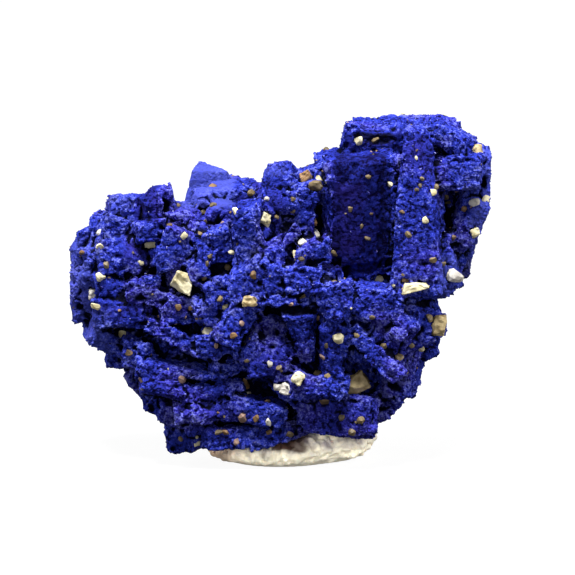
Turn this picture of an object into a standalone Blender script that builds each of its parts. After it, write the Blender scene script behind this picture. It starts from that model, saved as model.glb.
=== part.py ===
"""An azurite specimen, modelled at its real size.

A cluster of azurite crystals, grown together as one solid, stands on a pale base and holds
grains of pale sand in its surface. +X is to the right and +Y away from a viewer who faces the
show side, and +Z is up. The origin is at the middle of the bounding box, at its lowest level.

The show side's pieces are placed as that viewer sees them, in millimetres: right of the
middle, up the picture, and deep into it. The viewer looks down at VIEW_TILT. The rest of the
cluster is grown over the same cores by rule.
"""

import math
import random
from dataclasses import dataclass

import bmesh
import bpy
from mathutils import Matrix, Vector, noise
from mathutils.bvhtree import BVHTree

MM = 0.001
VIEW_TILT = math.radians(10)
MIDDLE_RIGHT = -0.9
MIDDLE_DEEP = 0.6
CLEARANCE = 0.3
SEED = 11

# A crystal's form, in shares of its size: how uneven its foot and top are, how far its cut
# corners reach in, and how much narrower, shorter and prouder each growth step is.
END_SLOPE = 0.12
CUT_DEPTH = (0.14, 0.34)
CUT_SLANT = 0.25
STEP_NARROWER = 0.26
STEP_PROUDER = 0.22
STEP_TALLER = 0.1
STEP_CUTS = 2

# The blades behind and above the show side: their number, sizes and places over a core.
TRIES = 260
SPACING = 3.3
FLOOR_GAP = 0.9
BLADE_WIDE = (3.2, 5.8)
BLADE_THICK = (1.6, 3.2)
BLADE_TALL = (4.0, 7.4)
BLADE_TAPER = (0.7, 1.0)
BLADE_TIP = 1.25
BLADE_DEPTH = 0.9
MOST_FORWARD = -0.2
CORE_FACES = 26
CORE_SHRINK = 0.95

BASE_LENGTH = 16.6
BASE_DEPTH = 14.0
BASE_TURN = math.radians(17)
BASE_MIDDLE = (-0.1, -0.8)
BASE_LEFT_HEIGHT = 1.9
BASE_RIGHT_HEIGHT = 3.5
BASE_LUMP_WIDTH = 3.8
BASE_LUMP_HEIGHT = 0.5
BASE_EDGE_WIDTH = 5.0
BASE_EDGE_WOBBLE = 0.1
BASE_FLAT_LEVEL = 0.55

GRAIN_TAPER = 0.8
GRAIN_CUTS = 4
WELD = 0.002
FAR = 40


@dataclass(frozen=True)
class Crystal:
    """One crystal: its middle as seen from the front, its size, and its attitude in degrees.

    lean turns it clockwise as seen from the front, nod tips its top away from the viewer,
    and turn swings its front face to the right. taper is its top's width over its foot's.
    cuts is how many corners and edges have a face of their own, steps how many growth steps
    its broad face has, and odd how far it may be nodded and turned at random.
    """

    right: float
    up: float
    deep: float
    wide: float
    tall: float
    thick: float
    lean: float = 0.0
    nod: float = 0.0
    turn: float = 0.0
    taper: float = 1.0
    cuts: int = 3
    steps: int = 0
    odd: float = 9.0


@dataclass(frozen=True)
class Core:
    """A rounded mass inside the cluster, which the crystals grow from: middle and half sizes."""

    right: float
    up: float
    deep: float
    half_wide: float
    half_tall: float
    half_thick: float


CORES = (
    Core(-3.0, 12.5, 0.5, 15.2, 8.2, 7.8),
    Core(-14.0, 17.6, 1.5, 7.2, 6.6, 6.4),
    Core(12.0, 24.0, 1.6, 6.0, 7.2, 4.6),
    Core(8.0, 18.6, 1.0, 6.6, 6.0, 6.2),
    Core(-2.6, 5.6, 0.4, 10.4, 3.6, 6.6),
    Core(-4.5, 19.6, 4.6, 8.6, 5.8, 5.6),
)

UPPER_RIGHT = (
    # the broad front plate, the slab over it, and the leg that carries the slab
    Crystal(7.2, 24.0, -5.0, 7.4, 12.0, 3.6, lean=-2, turn=20, cuts=4, steps=1),
    Crystal(11.2, 31.9, 0.6, 11.0, 2.6, 5.2, lean=0, cuts=4, steps=1),
    Crystal(5.8, 31.1, -0.4, 1.4, 4.4, 5.4, lean=14),
    Crystal(10.4, 29.4, 3.2, 9.6, 4.6, 4.6, cuts=4),
    # the tall blade that stands out to the front, and its ribbed right side
    Crystal(12.8, 24.5, -6.0, 5.3, 16.2, 7.0, taper=0.5, cuts=4, turn=-6),
    Crystal(14.6, 22.0, -4.6, 1.3, 10.4, 5.8, lean=-11, cuts=3),
    Crystal(15.6, 21.2, -3.8, 1.2, 9.2, 5.4, lean=-12, cuts=3),
    Crystal(13.3, 17.0, -5.3, 5.0, 2.6, 5.8, lean=-8, cuts=5),
    Crystal(15.3, 16.6, -4.2, 1.5, 1.7, 2.6),
    # two bars and a cheek to the right of the blade
    Crystal(15.8, 31.6, -2.3, 5.0, 2.2, 6.0, lean=22, steps=1),
    Crystal(16.4, 28.3, -3.8, 5.2, 3.4, 6.4, lean=3, cuts=4),
    Crystal(18.6, 27.9, -1.2, 2.5, 5.4, 6.4, lean=2, cuts=4),
    Crystal(17.4, 23.3, -2.9, 2.7, 5.6, 4.6, lean=22, steps=1),
    Crystal(18.3, 23.0, -0.8, 1.0, 6.0, 4.6, lean=14),
    Crystal(17.0, 20.5, -0.4, 2.0, 5.2, 4.2, lean=24),
    Crystal(15.8, 22.6, 2.0, 5.2, 8.6, 5.0, lean=10, cuts=4),
    # the dark neck under the blade
    Crystal(12.4, 15.3, -3.2, 4.2, 2.6, 6.0, lean=4),
    # the shoulder to the left of the plate
    Crystal(3.8, 29.5, 0.6, 2.8, 1.6, 3.8, lean=-12),
    Crystal(2.7, 28.0, -2.0, 4.6, 2.1, 4.6, lean=-30),
    Crystal(4.6, 28.5, -6.7, 2.4, 1.9, 2.4, lean=-15, cuts=5),
    Crystal(3.4, 23.2, 0.2, 5.4, 8.4, 6.0, cuts=4),
)

TOP_MIDDLE = (
    Crystal(1.5, 24.6, -4.9, 2.3, 5.4, 4.6, lean=2),
    Crystal(1.7, 26.7, -3.8, 2.7, 2.1, 4.2, lean=-20),
    Crystal(-0.7, 24.7, -6.0, 3.3, 3.2, 4.6, lean=8, cuts=5),
    Crystal(-1.1, 27.5, -3.1, 4.2, 3.5, 4.2, taper=0.6),
    Crystal(-4.0, 22.2, -7.0, 2.9, 6.0, 4.4, lean=-6, cuts=5),
    Crystal(-0.7, 21.7, -6.2, 4.1, 1.5, 4.2, lean=-32),
    Crystal(-0.4, 23.0, -5.4, 2.8, 1.6, 4.2, lean=-5),
    Crystal(2.3, 20.4, -7.8, 3.4, 2.4, 3.6, lean=-6, cuts=4),
    Crystal(-2.0, 20.0, -7.2, 3.5, 1.9, 4.2, lean=20),
    Crystal(-5.8, 26.1, 1.9, 3.9, 2.0, 5.2, lean=-6),
    Crystal(-7.9, 26.7, 9.0, 5.2, 4.6, 6.0, lean=2, taper=0.7, cuts=4),
    Crystal(-5.1, 26.1, 8.2, 4.6, 2.8, 5.2, lean=10, cuts=4),
)

CENTRE = (
    # level bars
    Crystal(1.1, 18.4, -8.4, 3.8, 1.6, 4.4, lean=1, cuts=3),
    Crystal(3.6, 18.2, -8.0, 3.0, 1.1, 3.4, lean=4, cuts=3),
    Crystal(2.8, 16.9, -8.5, 6.7, 1.2, 4.6, lean=1, cuts=3, steps=1),
    Crystal(-0.1, 15.6, -8.2, 6.0, 1.7, 4.4, lean=1, cuts=3, steps=1),
    Crystal(4.5, 15.4, -8.9, 3.5, 3.3, 4.6, cuts=5),
    # prisms that point down from them
    Crystal(1.4, 12.0, -7.3, 1.3, 5.2, 4.4, lean=-8, taper=2.5, cuts=2),
    Crystal(-2.2, 13.5, -7.0, 3.8, 1.8, 4.2, lean=34, cuts=3),
    Crystal(4.3, 11.2, -8.0, 2.4, 5.4, 4.4, lean=1, taper=1.25, cuts=4),
    Crystal(6.4, 10.5, -6.8, 1.8, 2.4, 3.6, lean=-20),
    # blocks to their left
    Crystal(-4.5, 17.6, -8.2, 3.0, 4.4, 4.2, lean=14, cuts=4),
    Crystal(-1.8, 17.7, -8.4, 2.6, 3.1, 4.2, cuts=4),
    Crystal(-7.1, 16.7, -7.8, 3.0, 2.6, 4.2, lean=-22, cuts=4),
    Crystal(-5.4, 13.6, -8.5, 2.8, 5.4, 4.4, lean=32),
)

LOWER_RIGHT = (
    Crystal(-1.3, 8.9, -7.4, 8.6, 3.4, 4.6, lean=42, cuts=4),
    Crystal(-1.5, 10.5, -7.9, 4.2, 3.4, 4.0, lean=30, cuts=5),
    Crystal(2.8, 7.0, -8.2, 5.8, 2.3, 4.8, lean=3, steps=1),
    Crystal(4.8, 4.5, -6.2, 7.8, 4.4, 6.4, lean=8, cuts=5, odd=3),
    Crystal(8.4, 5.5, -3.6, 4.7, 3.0, 7.0, lean=-36, cuts=4),
    Crystal(8.6, 10.3, -8.6, 6.9, 1.9, 4.0, lean=42, cuts=3),
    Crystal(8.6, 15.3, -7.8, 4.7, 3.5, 4.8, lean=6, cuts=5),
    Crystal(10.0, 12.5, -7.6, 4.2, 5.0, 4.4, lean=30, cuts=5),
    Crystal(11.8, 12.7, -5.8, 5.4, 6.0, 6.2, lean=12, cuts=5),
    Crystal(13.1, 12.4, -2.6, 2.8, 4.5, 6.2, lean=6, cuts=4),
    Crystal(11.3, 8.4, -5.4, 1.0, 5.4, 5.2, lean=10, cuts=3),
    Crystal(12.0, 8.7, -4.4, 1.1, 5.4, 5.6, lean=8, cuts=3),
    Crystal(12.6, 9.1, -3.2, 1.0, 5.4, 6.0, lean=8, cuts=3),
    Crystal(10.2, 7.5, -5.2, 2.7, 3.2, 5.2),
)

LEFT_LOBE = (
    # the knobs along the top and the left rim
    Crystal(-17.1, 24.7, 0.5, 2.1, 2.6, 4.0, cuts=5),
    Crystal(-15.7, 24.1, -0.8, 1.6, 3.7, 3.6, lean=6),
    Crystal(-13.0, 25.1, -1.6, 3.6, 3.9, 4.4, taper=0.65),
    Crystal(-13.6, 24.2, -3.5, 1.8, 2.8, 2.8, lean=-10),
    Crystal(-14.0, 22.4, -4.6, 2.7, 2.0, 3.6, cuts=4),
    Crystal(-18.8, 22.8, 1.2, 2.2, 2.4, 4.4, cuts=5),
    Crystal(-20.0, 21.7, 2.0, 2.3, 2.5, 4.4, cuts=5),
    Crystal(-20.8, 19.8, 3.0, 2.2, 2.9, 4.8, cuts=5),
    Crystal(-20.7, 17.3, 2.2, 2.4, 3.6, 5.2),
    Crystal(-20.6, 15.0, 2.4, 2.6, 2.9, 4.8, lean=-10),
    # the faces and knobs inside it
    Crystal(-17.8, 22.5, -2.0, 2.4, 2.8, 3.8, lean=20, cuts=5),
    Crystal(-16.8, 20.1, -3.6, 4.8, 3.3, 4.4, lean=-5, cuts=4),
    Crystal(-19.4, 19.1, -1.2, 1.9, 3.4, 4.4),
    Crystal(-17.8, 17.0, -4.0, 3.3, 3.3, 4.0, lean=-15, cuts=5),
    Crystal(-15.3, 16.6, -5.4, 2.0, 2.3, 3.4, cuts=4),
    Crystal(-13.7, 16.8, -5.9, 1.6, 3.0, 3.4, cuts=4),
    Crystal(-16.7, 14.2, -4.3, 5.8, 2.7, 4.4, lean=-4, cuts=4, steps=1),
    Crystal(-10.6, 23.8, -2.9, 3.5, 2.1, 4.4, lean=-8, cuts=4),
    Crystal(-10.9, 20.5, -5.5, 4.3, 4.5, 4.4, lean=22, cuts=4),
    Crystal(-9.3, 22.2, -4.2, 1.8, 2.9, 3.4),
    Crystal(-8.9, 18.8, -6.7, 2.2, 3.7, 3.8, lean=14),
    Crystal(-7.1, 20.9, -5.5, 2.6, 4.1, 4.2, lean=-14, cuts=4),
    Crystal(-6.8, 23.9, -2.8, 2.7, 2.5, 4.0, cuts=4),
    Crystal(-8.7, 25.3, -0.6, 2.0, 2.2, 3.6),
    Crystal(-12.4, 19.3, -4.4, 1.7, 3.1, 3.4, lean=-25),
    # the shelf under it
    Crystal(-19.0, 12.7, -0.6, 2.5, 3.0, 5.2, lean=20),
    Crystal(-17.2, 11.1, -2.4, 5.2, 1.8, 5.2, lean=24, steps=1),
    Crystal(-17.0, 9.9, -0.6, 2.6, 2.3, 4.8, lean=10),
    Crystal(-15.7, 10.5, -4.0, 2.0, 3.3, 4.0),
)

LEDGES = (
    Crystal(-10.5, 15.1, -6.5, 4.8, 2.9, 4.0, cuts=4),
    Crystal(-7.9, 14.5, -7.4, 3.5, 2.1, 4.0, lean=6),
    Crystal(-10.4, 11.5, -6.7, 8.2, 1.5, 4.8, lean=20, cuts=4),
    Crystal(-7.4, 11.3, -7.4, 4.5, 2.3, 4.4, lean=0),
    Crystal(-10.7, 8.9, -6.1, 8.8, 1.4, 5.2, lean=5, cuts=4),
    Crystal(-14.1, 9.7, -4.4, 1.5, 3.3, 4.8, lean=-20),
    Crystal(-6.2, 9.3, -6.4, 3.8, 1.4, 4.8, lean=-22),
    Crystal(-10.5, 6.4, -6.2, 9.2, 1.7, 5.2, lean=6, cuts=4),
    Crystal(-6.8, 6.9, -6.4, 4.6, 1.4, 4.8, lean=-16),
    Crystal(-14.4, 6.9, -2.2, 2.2, 4.6, 5.6, lean=-38),
    Crystal(-12.6, 5.2, -3.8, 3.6, 2.0, 5.2, lean=25),
    Crystal(-7.8, 4.7, -6.6, 7.6, 1.7, 5.2, lean=-6, cuts=4),
    Crystal(-3.2, 4.7, -7.0, 5.9, 2.4, 4.8, lean=6),
    Crystal(-10.0, 3.8, -5.1, 5.8, 1.8, 5.2, lean=8),
    Crystal(-10.1, 2.3, -3.4, 4.5, 3.0, 6.0, lean=-10, cuts=5, odd=2),
    Crystal(-6.0, 2.1, -5.6, 5.3, 2.4, 6.2, lean=8, odd=2),
    Crystal(-1.0, 2.6, -5.6, 6.4, 1.9, 6.2, lean=-10, odd=2),
)

# What carries the second grain, in the mouth of a hollow.
IN_THE_HOLLOW = (
    Crystal(-10.6, 17.4, -5.6, 3.2, 3.0, 3.4, cuts=2),
)

SHOW_SIDE = UPPER_RIGHT + TOP_MIDDLE + CENTRE + LOWER_RIGHT + LEFT_LOBE + LEDGES + IN_THE_HOLLOW

# The show side's outline, as (right, up), which what grows behind it stays inside.
OUTLINE = (
    (-22.2, 20.0), (-20.6, 22.9), (-18.4, 24.7), (-17.8, 25.8), (-15.2, 25.9), (-14.2, 26.8),
    (-12.0, 26.6), (-11.3, 25.0), (-10.4, 28.0), (-8.5, 29.0), (-6.8, 29.2), (-5.4, 28.1),
    (-3.5, 27.3), (-2.6, 28.9), (-1.0, 29.3), (1.0, 28.3), (2.6, 29.9), (5.0, 30.9),
    (5.8, 33.7), (11.0, 34.1), (16.2, 33.8), (19.8, 30.7), (20.3, 28.5), (20.0, 25.5),
    (18.8, 21.5), (17.0, 18.5), (14.2, 15.0), (14.4, 13.0), (13.2, 9.0), (12.4, 6.0),
    (9.2, 3.5), (7.4, 1.8), (-7.5, 0.6), (-11.0, 0.5), (-12.2, 2.0), (-13.0, 4.3),
    (-15.8, 6.3), (-16.3, 8.5), (-18.6, 9.5), (-20.4, 12.7), (-22.0, 14.5),
)


@dataclass(frozen=True)
class Grain:
    """One of the larger sand grains: its middle as seen from the front, and its size.

    sunk is the share of its thickness that lies below what it is laid on.
    """

    right: float
    up: float
    wide: float
    tall: float
    thick: float
    lean: float = 0.0
    sunk: float = 0.45


GRAINS = (
    Grain(6.5, 7.0, 4.0, 2.3, 1.8, lean=-16, sunk=0.1),
    Grain(-10.6, 17.3, 2.2, 1.8, 1.5, lean=20, sunk=0.2),
    Grain(12.4, 16.6, 2.7, 1.1, 1.4, lean=-4),
    Grain(14.7, 13.0, 1.4, 2.0, 1.5, lean=12),
    Grain(18.6, 30.3, 1.2, 1.3, 1.1, sunk=0.1),
    Grain(-4.0, 15.4, 1.5, 1.0, 1.0),
    Grain(-2.4, 23.5, 1.0, 1.2, 0.9, lean=20),
    Grain(-13.7, 21.2, 1.6, 0.9, 1.0, lean=-6, sunk=0.1),
    Grain(0.8, 7.8, 1.1, 1.2, 1.0, lean=30),
    Grain(-0.4, 6.7, 1.1, 1.0, 0.9, lean=8),
    Grain(2.5, 26.8, 1.5, 0.9, 1.0, lean=-8),
    Grain(1.5, 27.8, 1.2, 0.9, 0.9, lean=-20),
    Grain(-8.0, 12.3, 1.4, 0.8, 0.9, lean=24, sunk=0.1),
    Grain(-19.6, 16.0, 0.9, 1.0, 0.9),
    Grain(18.4, 22.2, 1.0, 0.8, 0.9, lean=-20),
)


def seen(right, up, deep):
    """The point, in millimetres, that stands there in the tilted view of the show side."""
    level = (up - deep * math.sin(VIEW_TILT)) / math.cos(VIEW_TILT)
    return Vector((right - MIDDLE_RIGHT, deep - MIDDLE_DEEP, level))


def as_seen(point):
    """Where a point stands in the view of the show side, as (right, up)."""
    deep = point.y + MIDDLE_DEEP
    return point.x + MIDDLE_RIGHT, point.z * math.cos(VIEW_TILT) + deep * math.sin(VIEW_TILT)


def inside_outline(right, up):
    """True where (right, up) lies inside OUTLINE, by the crossings of a level line."""
    inside = False
    for (x1, y1), (x2, y2) in zip(OUTLINE, OUTLINE[1:] + OUTLINE[:1]):
        if (y1 > up) != (y2 > up) and right < x1 + (up - y1) * (x2 - x1) / (y2 - y1):
            inside = not inside
    return inside


def reach(bm, direction):
    """How far a solid reaches from the origin along direction."""
    return max(direction.dot(vert.co) for vert in bm.verts)


def cut_face(bm, direction, distance):
    """Cuts a flat face across a solid, looking along direction, at a distance from the origin."""
    if distance >= reach(bm, direction):
        return
    cut = bmesh.ops.bisect_plane(
        bm,
        geom=bm.verts[:] + bm.edges[:] + bm.faces[:],
        plane_co=direction * distance,
        plane_no=direction,
        clear_outer=True,
    )
    rim = [edge for edge in cut["geom_cut"] if isinstance(edge, bmesh.types.BMEdge)]
    bmesh.ops.edgeloop_fill(bm, edges=rim)


def crystal_solid(size, taper, cuts, rng):
    """A flat-faced crystal about the origin: a block with a narrower top and cut corners."""
    bm = bmesh.new()
    bmesh.ops.create_cube(bm, size=1.0)
    bmesh.ops.scale(bm, vec=size, verts=bm.verts)
    slope = rng.uniform(-END_SLOPE, END_SLOPE)
    for vert in bm.verts:
        if vert.co.z > 0:
            vert.co.x *= taper
            vert.co.y *= (1 + taper) / 2
        vert.co.z += slope * vert.co.x
    smallest = min(size)
    for _ in range(cuts):
        corner = Vector([rng.choice((-1, 1)) * rng.uniform(CUT_SLANT, 1) / s for s in size])
        direction = corner.normalized()
        cut_face(bm, direction, reach(bm, direction) - rng.uniform(*CUT_DEPTH) * smallest)
    return bm


def add_to(total, part, matrix):
    """Moves a part's bmesh into place and adds it to the bmesh that gathers them."""
    part.transform(matrix)
    mesh = bpy.data.meshes.new("part")
    part.to_mesh(mesh)
    part.free()
    total.from_mesh(mesh)
    bpy.data.meshes.remove(mesh)


def attitude(crystal, rng):
    """A show-side crystal's rotation: lean in the picture, then nod, then turn.

    Crystals grow at odd angles, so each is nodded and turned a little more at random.
    """
    lean = Matrix.Rotation(math.radians(crystal.lean), 4, "Y")
    odd = [rng.uniform(-crystal.odd, crystal.odd) for _ in range(2)]
    nod = Matrix.Rotation(-math.radians(crystal.nod + odd[0]), 4, "X")
    turn = Matrix.Rotation(math.radians(crystal.turn + odd[1]), 4, "Z")
    return turn @ nod @ lean


def add_crystal(total, size, matrix, rng, taper, cuts, steps):
    """Adds a crystal, with the growth steps on its broad faces."""
    add_to(total, crystal_solid(size, taper, cuts, rng), matrix)
    for step in range(1, steps + 1):
        narrower = 1 - STEP_NARROWER * step
        wide, thick = size[0] * narrower, size[1] * (1 + STEP_PROUDER * step)
        raised = Vector((wide, thick, size[2] * (narrower + STEP_TALLER)))
        aside = rng.uniform(-STEP_TALLER, STEP_TALLER) * size[0]
        shift = Matrix.Translation((aside, 0, STEP_TALLER / 2 * size[2]))
        add_to(total, crystal_solid(raised, taper, STEP_CUTS, rng), matrix @ shift)


def halves(core):
    """A core's half sizes along X, Y and Z."""
    return Vector((core.half_wide, core.half_thick, core.half_tall))


def middle(core):
    """A core's middle."""
    return seen(core.right, core.up, core.deep)


def buried(point, but):
    """True where a point lies inside a core other than the one that is named."""
    for core in CORES:
        offset = point - middle(core)
        share = Vector([o / h for o, h in zip(offset, halves(core))]).length
        if core is not but and share < BLADE_DEPTH:
            return True
    return False


def grow_behind(total, core, grown, rng):
    """Grows blades out of a core's top, sides, back and underside.

    They stay inside the outline, and SPACING apart from all that were grown before.
    """
    for _ in range(TRIES):
        outward = Vector([rng.gauss(0, 1) for _ in range(3)]).normalized()
        size = Vector([rng.uniform(*r) for r in (BLADE_WIDE, BLADE_THICK, BLADE_TALL)])
        spin = Matrix.Rotation(rng.uniform(0, math.tau), 4, "Z")
        tip = Matrix.Rotation(rng.uniform(-BLADE_TIP, BLADE_TIP), 4, "X")
        to_face = Vector([o * h for o, h in zip(outward, halves(core))])
        point = middle(core) + to_face * BLADE_DEPTH
        if outward.y < MOST_FORWARD or buried(point, core):
            continue
        if any((point - other).length < SPACING for other in grown):
            continue
        place = Matrix.Translation(point) @ outward.to_track_quat("Z", "Y").to_matrix().to_4x4()
        corners = [
            place @ spin @ tip @ Vector((x * size.x, y * size.y, z * size.z))
            for x in (-0.5, 0.5) for y in (-0.5, 0.5) for z in (-0.5, 0.5)
        ]
        if all(inside_outline(*as_seen(c)) and c.z > FLOOR_GAP for c in corners):
            grown.append(point)
            taper = rng.uniform(*BLADE_TAPER)
            cuts, steps = rng.choice((1, 2)), rng.choice((0, 0, 1))
            add_crystal(total, size, place @ spin @ tip, rng, taper, cuts, steps)


def core_solid(core, rng):
    """A core as a block whose faces all touch the same rounded shape."""
    bm = bmesh.new()
    bmesh.ops.create_cube(bm, size=2.0)
    bmesh.ops.scale(bm, vec=halves(core), verts=bm.verts)
    for _ in range(CORE_FACES):
        direction = Vector([rng.gauss(0, 1) for _ in range(3)]).normalized()
        cut_face(bm, direction, Vector([d * h for d, h in zip(direction, halves(core))]).length)
    bmesh.ops.transform(bm, matrix=Matrix.Scale(CORE_SHRINK, 4), verts=bm.verts)
    bmesh.ops.transform(bm, matrix=Matrix.Translation(middle(core)), verts=bm.verts)
    return bm


def object_from(bm, name, collection, material=None):
    """A new object from a bmesh in millimetres, linked into a collection, in metres."""
    bm.transform(Matrix.Scale(MM, 4))
    bmesh.ops.recalc_face_normals(bm, faces=bm.faces)
    mesh = bpy.data.meshes.new(name)
    bm.to_mesh(mesh)
    bm.free()
    made = bpy.data.objects.new(name, mesh)
    if material:
        mesh.materials.append(material)
    collection.objects.link(made)
    return made


def helper_from(bm, name, collection):
    """An object that only shapes another one, hidden from renders and drawn as wire."""
    made = object_from(bm, name, collection)
    made.hide_render = True
    made.display_type = "WIRE"
    return made


def join_or_cut(target, tool, operation):
    """Adds a Boolean modifier with the Exact solver, which also joins a tool to itself."""
    modifier = target.modifiers.new(tool.name, "BOOLEAN")
    modifier.object = tool
    modifier.operation = operation
    modifier.solver = "EXACT"
    modifier.use_self = True


def outer_shell(obj):
    """Applies an object's modifiers and keeps its largest shell, which leaves no sealed hollow."""
    bpy.context.view_layer.update()
    evaluated = obj.evaluated_get(bpy.context.evaluated_depsgraph_get())
    mesh = bpy.data.meshes.new_from_object(evaluated)
    obj.modifiers.clear()
    obj.data = mesh
    bm = bmesh.new()
    bm.from_mesh(mesh)
    bmesh.ops.remove_doubles(bm, verts=bm.verts, dist=WELD * MM)
    unseen = set(bm.faces)
    shells = []
    while unseen:
        shell, edge_of_shell = set(), [unseen.pop()]
        while edge_of_shell:
            face = edge_of_shell.pop()
            shell.add(face)
            for edge in face.edges:
                for other in edge.link_faces:
                    if other in unseen:
                        unseen.remove(other)
                        edge_of_shell.append(other)
        shells.append(shell)
    largest = max(shells, key=len)
    bmesh.ops.delete(bm, geom=[f for s in shells if s is not largest for f in s], context="FACES")
    bmesh.ops.triangulate(bm, faces=bm.faces)
    bm.to_mesh(mesh)
    bm.free()


def base_solid(grow=0.0):
    """The pale base as a flattened ball: flat underneath, lumpy on top, higher at the right.

    grow makes it larger all round, for the seat that it takes in the cluster.
    """
    bm = bmesh.new()
    bmesh.ops.create_uvsphere(bm, u_segments=24, v_segments=10, radius=1.0)
    turn = Matrix.Rotation(BASE_TURN, 3, "Z")
    for vert in bm.verts:
        across, along, level = vert.co
        flat = Vector((across, along, 0)) * BASE_LENGTH / 2
        lump = noise.noise(flat / BASE_LUMP_WIDTH + Vector((0, 0, 3)))
        height = BASE_LEFT_HEIGHT + (BASE_RIGHT_HEIGHT - BASE_LEFT_HEIGHT) * (across + 1) / 2
        height += BASE_LUMP_HEIGHT * lump
        wobble = 1 + BASE_EDGE_WOBBLE * noise.noise(flat / BASE_EDGE_WIDTH + Vector((0, 0, 9)))
        share = min(1.0, max(0.0, (level + BASE_FLAT_LEVEL) / (2 * BASE_FLAT_LEVEL)))
        reach = Vector((BASE_LENGTH / 2 + grow, BASE_DEPTH / 2 + grow)) * wobble
        spot = turn @ Vector((across * reach.x, along * reach.y, 0))
        vert.co = (
            spot.x + BASE_MIDDLE[0] - MIDDLE_RIGHT,
            spot.y + BASE_MIDDLE[1] - MIDDLE_DEEP,
            share * (height + 2 * grow) - grow,
        )
    return bm


def grain_solid(grain, number, grow=0.0):
    """A sand grain as a chipped block about the origin, or its seat, which is larger by grow."""
    size = Vector((grain.wide, grain.thick, grain.tall))
    bm = crystal_solid(size, GRAIN_TAPER, GRAIN_CUTS, random.Random(SEED + number))
    for vert in bm.verts:
        vert.co = Vector([c * (s + 2 * grow) / s for c, s in zip(vert.co, size)])
    return bm


def grain_place(grain, skin):
    """Where a grain lies: partly sunk where the line of sight through it meets the crystals."""
    into = Vector((0, math.cos(VIEW_TILT), -math.sin(VIEW_TILT)))
    start = seen(grain.right, grain.up, 0) - into * FAR
    point = skin.ray_cast(start, into)[0]
    if point is None:
        point = skin.find_nearest(seen(grain.right, grain.up, 0))[0]
    point = point + into * (grain.sunk - 0.5) * grain.thick
    return Matrix.Translation(point) @ Matrix.Rotation(math.radians(grain.lean), 4, "Y")


def skin_of(obj):
    """A finished object's surface in millimetres, for finding what lies on it."""
    bm = bmesh.new()
    bm.from_mesh(obj.data)
    bm.transform(Matrix.Scale(1 / MM, 4))
    skin = BVHTree.FromBMesh(bm)
    bm.free()
    return skin


def finish(name, colour, roughness):
    """A plain material of one colour, given as linear red, green and blue."""
    material = bpy.data.materials.new(name)
    material.use_nodes = True
    shader = material.node_tree.nodes["Principled BSDF"]
    shader.inputs["Base Color"].default_value = (*colour, 1.0)
    shader.inputs["Roughness"].default_value = roughness
    shader.inputs["Metallic"].default_value = 0.0
    return material


def build_cluster(collection, helpers, material):
    """The azurite: a core with all the other cores and crystals joined to it."""
    rng = random.Random(SEED)
    gathered = bmesh.new()
    for core in CORES[1:]:
        add_to(gathered, core_solid(core, rng), Matrix())
    for crystal in SHOW_SIDE:
        size = Vector((crystal.wide, crystal.thick, crystal.tall))
        place = Matrix.Translation(seen(crystal.right, crystal.up, crystal.deep))
        matrix = place @ attitude(crystal, rng)
        add_crystal(gathered, size, matrix, rng, crystal.taper, crystal.cuts, crystal.steps)
    grown = []
    for core in CORES:
        grow_behind(gathered, core, grown, rng)
    cluster = object_from(core_solid(CORES[0], rng), "azurite_cluster", collection, material)
    join_or_cut(cluster, helper_from(gathered, "crystals", helpers), "UNION")
    outer_shell(cluster)
    return cluster


def main():
    """Builds the cluster, the base and the larger grains, each in its seat in the cluster."""
    for obj in list(bpy.data.objects):
        bpy.data.objects.remove(obj)
    collection = bpy.data.collections.new("azurite_specimen")
    helpers = bpy.data.collections.new("helpers")
    for made in (collection, helpers):
        bpy.context.scene.collection.children.link(made)

    cluster = build_cluster(collection, helpers, finish("azurite", (0.012, 0.02, 0.36), 0.6))
    skin = skin_of(cluster)
    pale = finish("pale base", (0.62, 0.54, 0.42), 0.7)
    sand = finish("sand grain", (0.5, 0.4, 0.22), 0.5)
    object_from(base_solid(), "pale_base", collection, pale)
    seats = base_solid(CLEARANCE)
    for number, grain in enumerate(GRAINS, 1):
        place = grain_place(grain, skin)
        seat = grain_solid(grain, number, CLEARANCE)
        add_to(seats, seat, place)
        solid = grain_solid(grain, number)
        solid.transform(place)
        object_from(solid, f"sand_grain_{number:02d}", collection, sand)
    join_or_cut(cluster, helper_from(seats, "seats", helpers), "DIFFERENCE")
    outer_shell(cluster)


if __name__ == "__main__":
    main()
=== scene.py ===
"""An azurite specimen with its natural surfaces, at its real size, in metres.

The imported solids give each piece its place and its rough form. Here the crystals get a
weathered skin and a coat of tiny crystals, the sand grains their chipped and worn faces, and
the base its lumps and stains.
"""

import logging
import math
import random
from dataclasses import dataclass, field
from enum import Enum

import bmesh
import bpy
import numpy as np
from mathutils import Matrix, Vector, noise
from mathutils.bvhtree import BVHTree


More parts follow.
